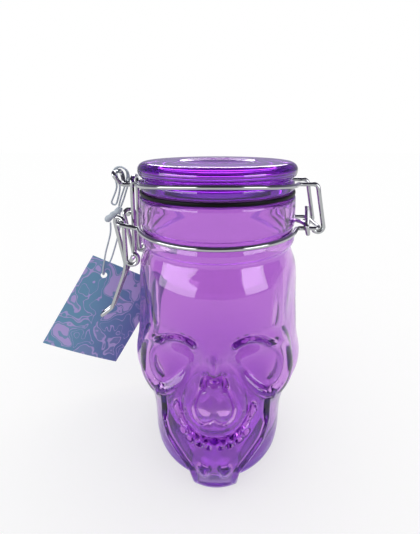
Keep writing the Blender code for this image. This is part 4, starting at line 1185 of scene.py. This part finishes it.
def photo_camera():
    """Camera of the photograph, close to the jar and a little above its lid."""
    data = bpy.data.cameras.new("camera")
    data.sensor_width = SENSOR_WIDTH_MM
    data.lens = SENSOR_WIDTH_MM * FOCAL_PX / PHOTO_LONG_SIDE_PX
    data.shift_x = PHOTO_SHIFT_X_PX / PHOTO_LONG_SIDE_PX
    data.shift_y = PHOTO_SHIFT_Y_PX / PHOTO_LONG_SIDE_PX
    camera = bpy.data.objects.new("camera", data)
    camera.location = (0.0, -CAMERA_BACK, CAMERA_HEIGHT)
    camera.rotation_euler = (math.pi / 2 - CAMERA_PITCH, 0.0, 0.0)
    bpy.context.scene.collection.objects.link(camera)
    bpy.context.scene.camera = camera


def main():
    """Builds every piece with its finish, then the stage."""
    jar_glass = stained_glass(
        "purple_glass_moulded", JAR_STAIN_WITH_PAINTED_SHADE, 0.0, JAR_STAIN_HIGH, JAR_PAINTED_SHADE_TOP, JAR_DENSITY
    )
    plug_bottom = GASKET_BOTTOM - PLUG_DEPTH
    lid_finish = stained_glass(
        "purple_glass_pressed", LID_STAIN_WITH_PAINTED_SHADE, plug_bottom, LID_STAIN_HIGH, LID_BOTTOM, LID_DENSITY
    )
    # Drawn steel wire with a bright finish: it mirrors the room, with slightly blurred edges
    steel_values = {"Base_Color": linear(STEEL), "Metallic": 1.0, "Roughness": STEEL_ROUGHNESS}
    steel = new_material("bright_drawn_steel_wire", **steel_values)
    # Moulded rubber: near black, with hardly any shine
    rubber = new_material(
        "black_rubber_moulded",
        Base_Color=linear(RUBBER),
        Roughness=RUBBER_ROUGHNESS,
        Specular_IOR_Level=RUBBER_SPECULAR,
    )
    # Smooth elastic cord: pale blue-grey, with a dull sheen and no visible weave at this size
    pale_cord = new_material(
        "pale_cord_smooth", Base_Color=linear(CORD_COLOUR), Roughness=CORD_ROUGHNESS
    )
    steel_finish = (steel[0], "steel_wire")
    rubber_finish = (rubber[0], "black_rubber")
    cord_finish = (pale_cord[0], "elastic_cord")
    jar_body(jar_glass)
    neck_wire_front(steel_finish)
    neck_wire_rear(steel_finish)
    lid_glass(lid_finish)
    lid_gasket(rubber_finish)
    lid_hoop(steel_finish)
    clasp_lever(steel_finish)
    clasp_link(steel_finish)
    card = hang_tag(printed_card())
    loop_points = smooth_route(CORD_LOOP_POINTS, CORD_SPAN_STEPS)
    drop_points = smooth_route(CORD_DROP_POINTS, CORD_SPAN_STEPS)
    loop = tube("tag_cord_loop", loop_points, CORD, cord_finish)
    drop = tube("tag_cord_drop", drop_points, CORD, cord_finish)
    knot(cord_finish)

    scene = bpy.context.scene
    scene.view_settings.view_transform = "Standard"
    scene.cycles.glossy_bounces = LIGHT_BOUNCES
    scene.cycles.transmission_bounces = LIGHT_BOUNCES
    scene.cycles.max_bounces = LIGHT_BOUNCES
    studio_world()
    studio_floor()
    soft_boxes()
    photo_camera()


main()
write_size()
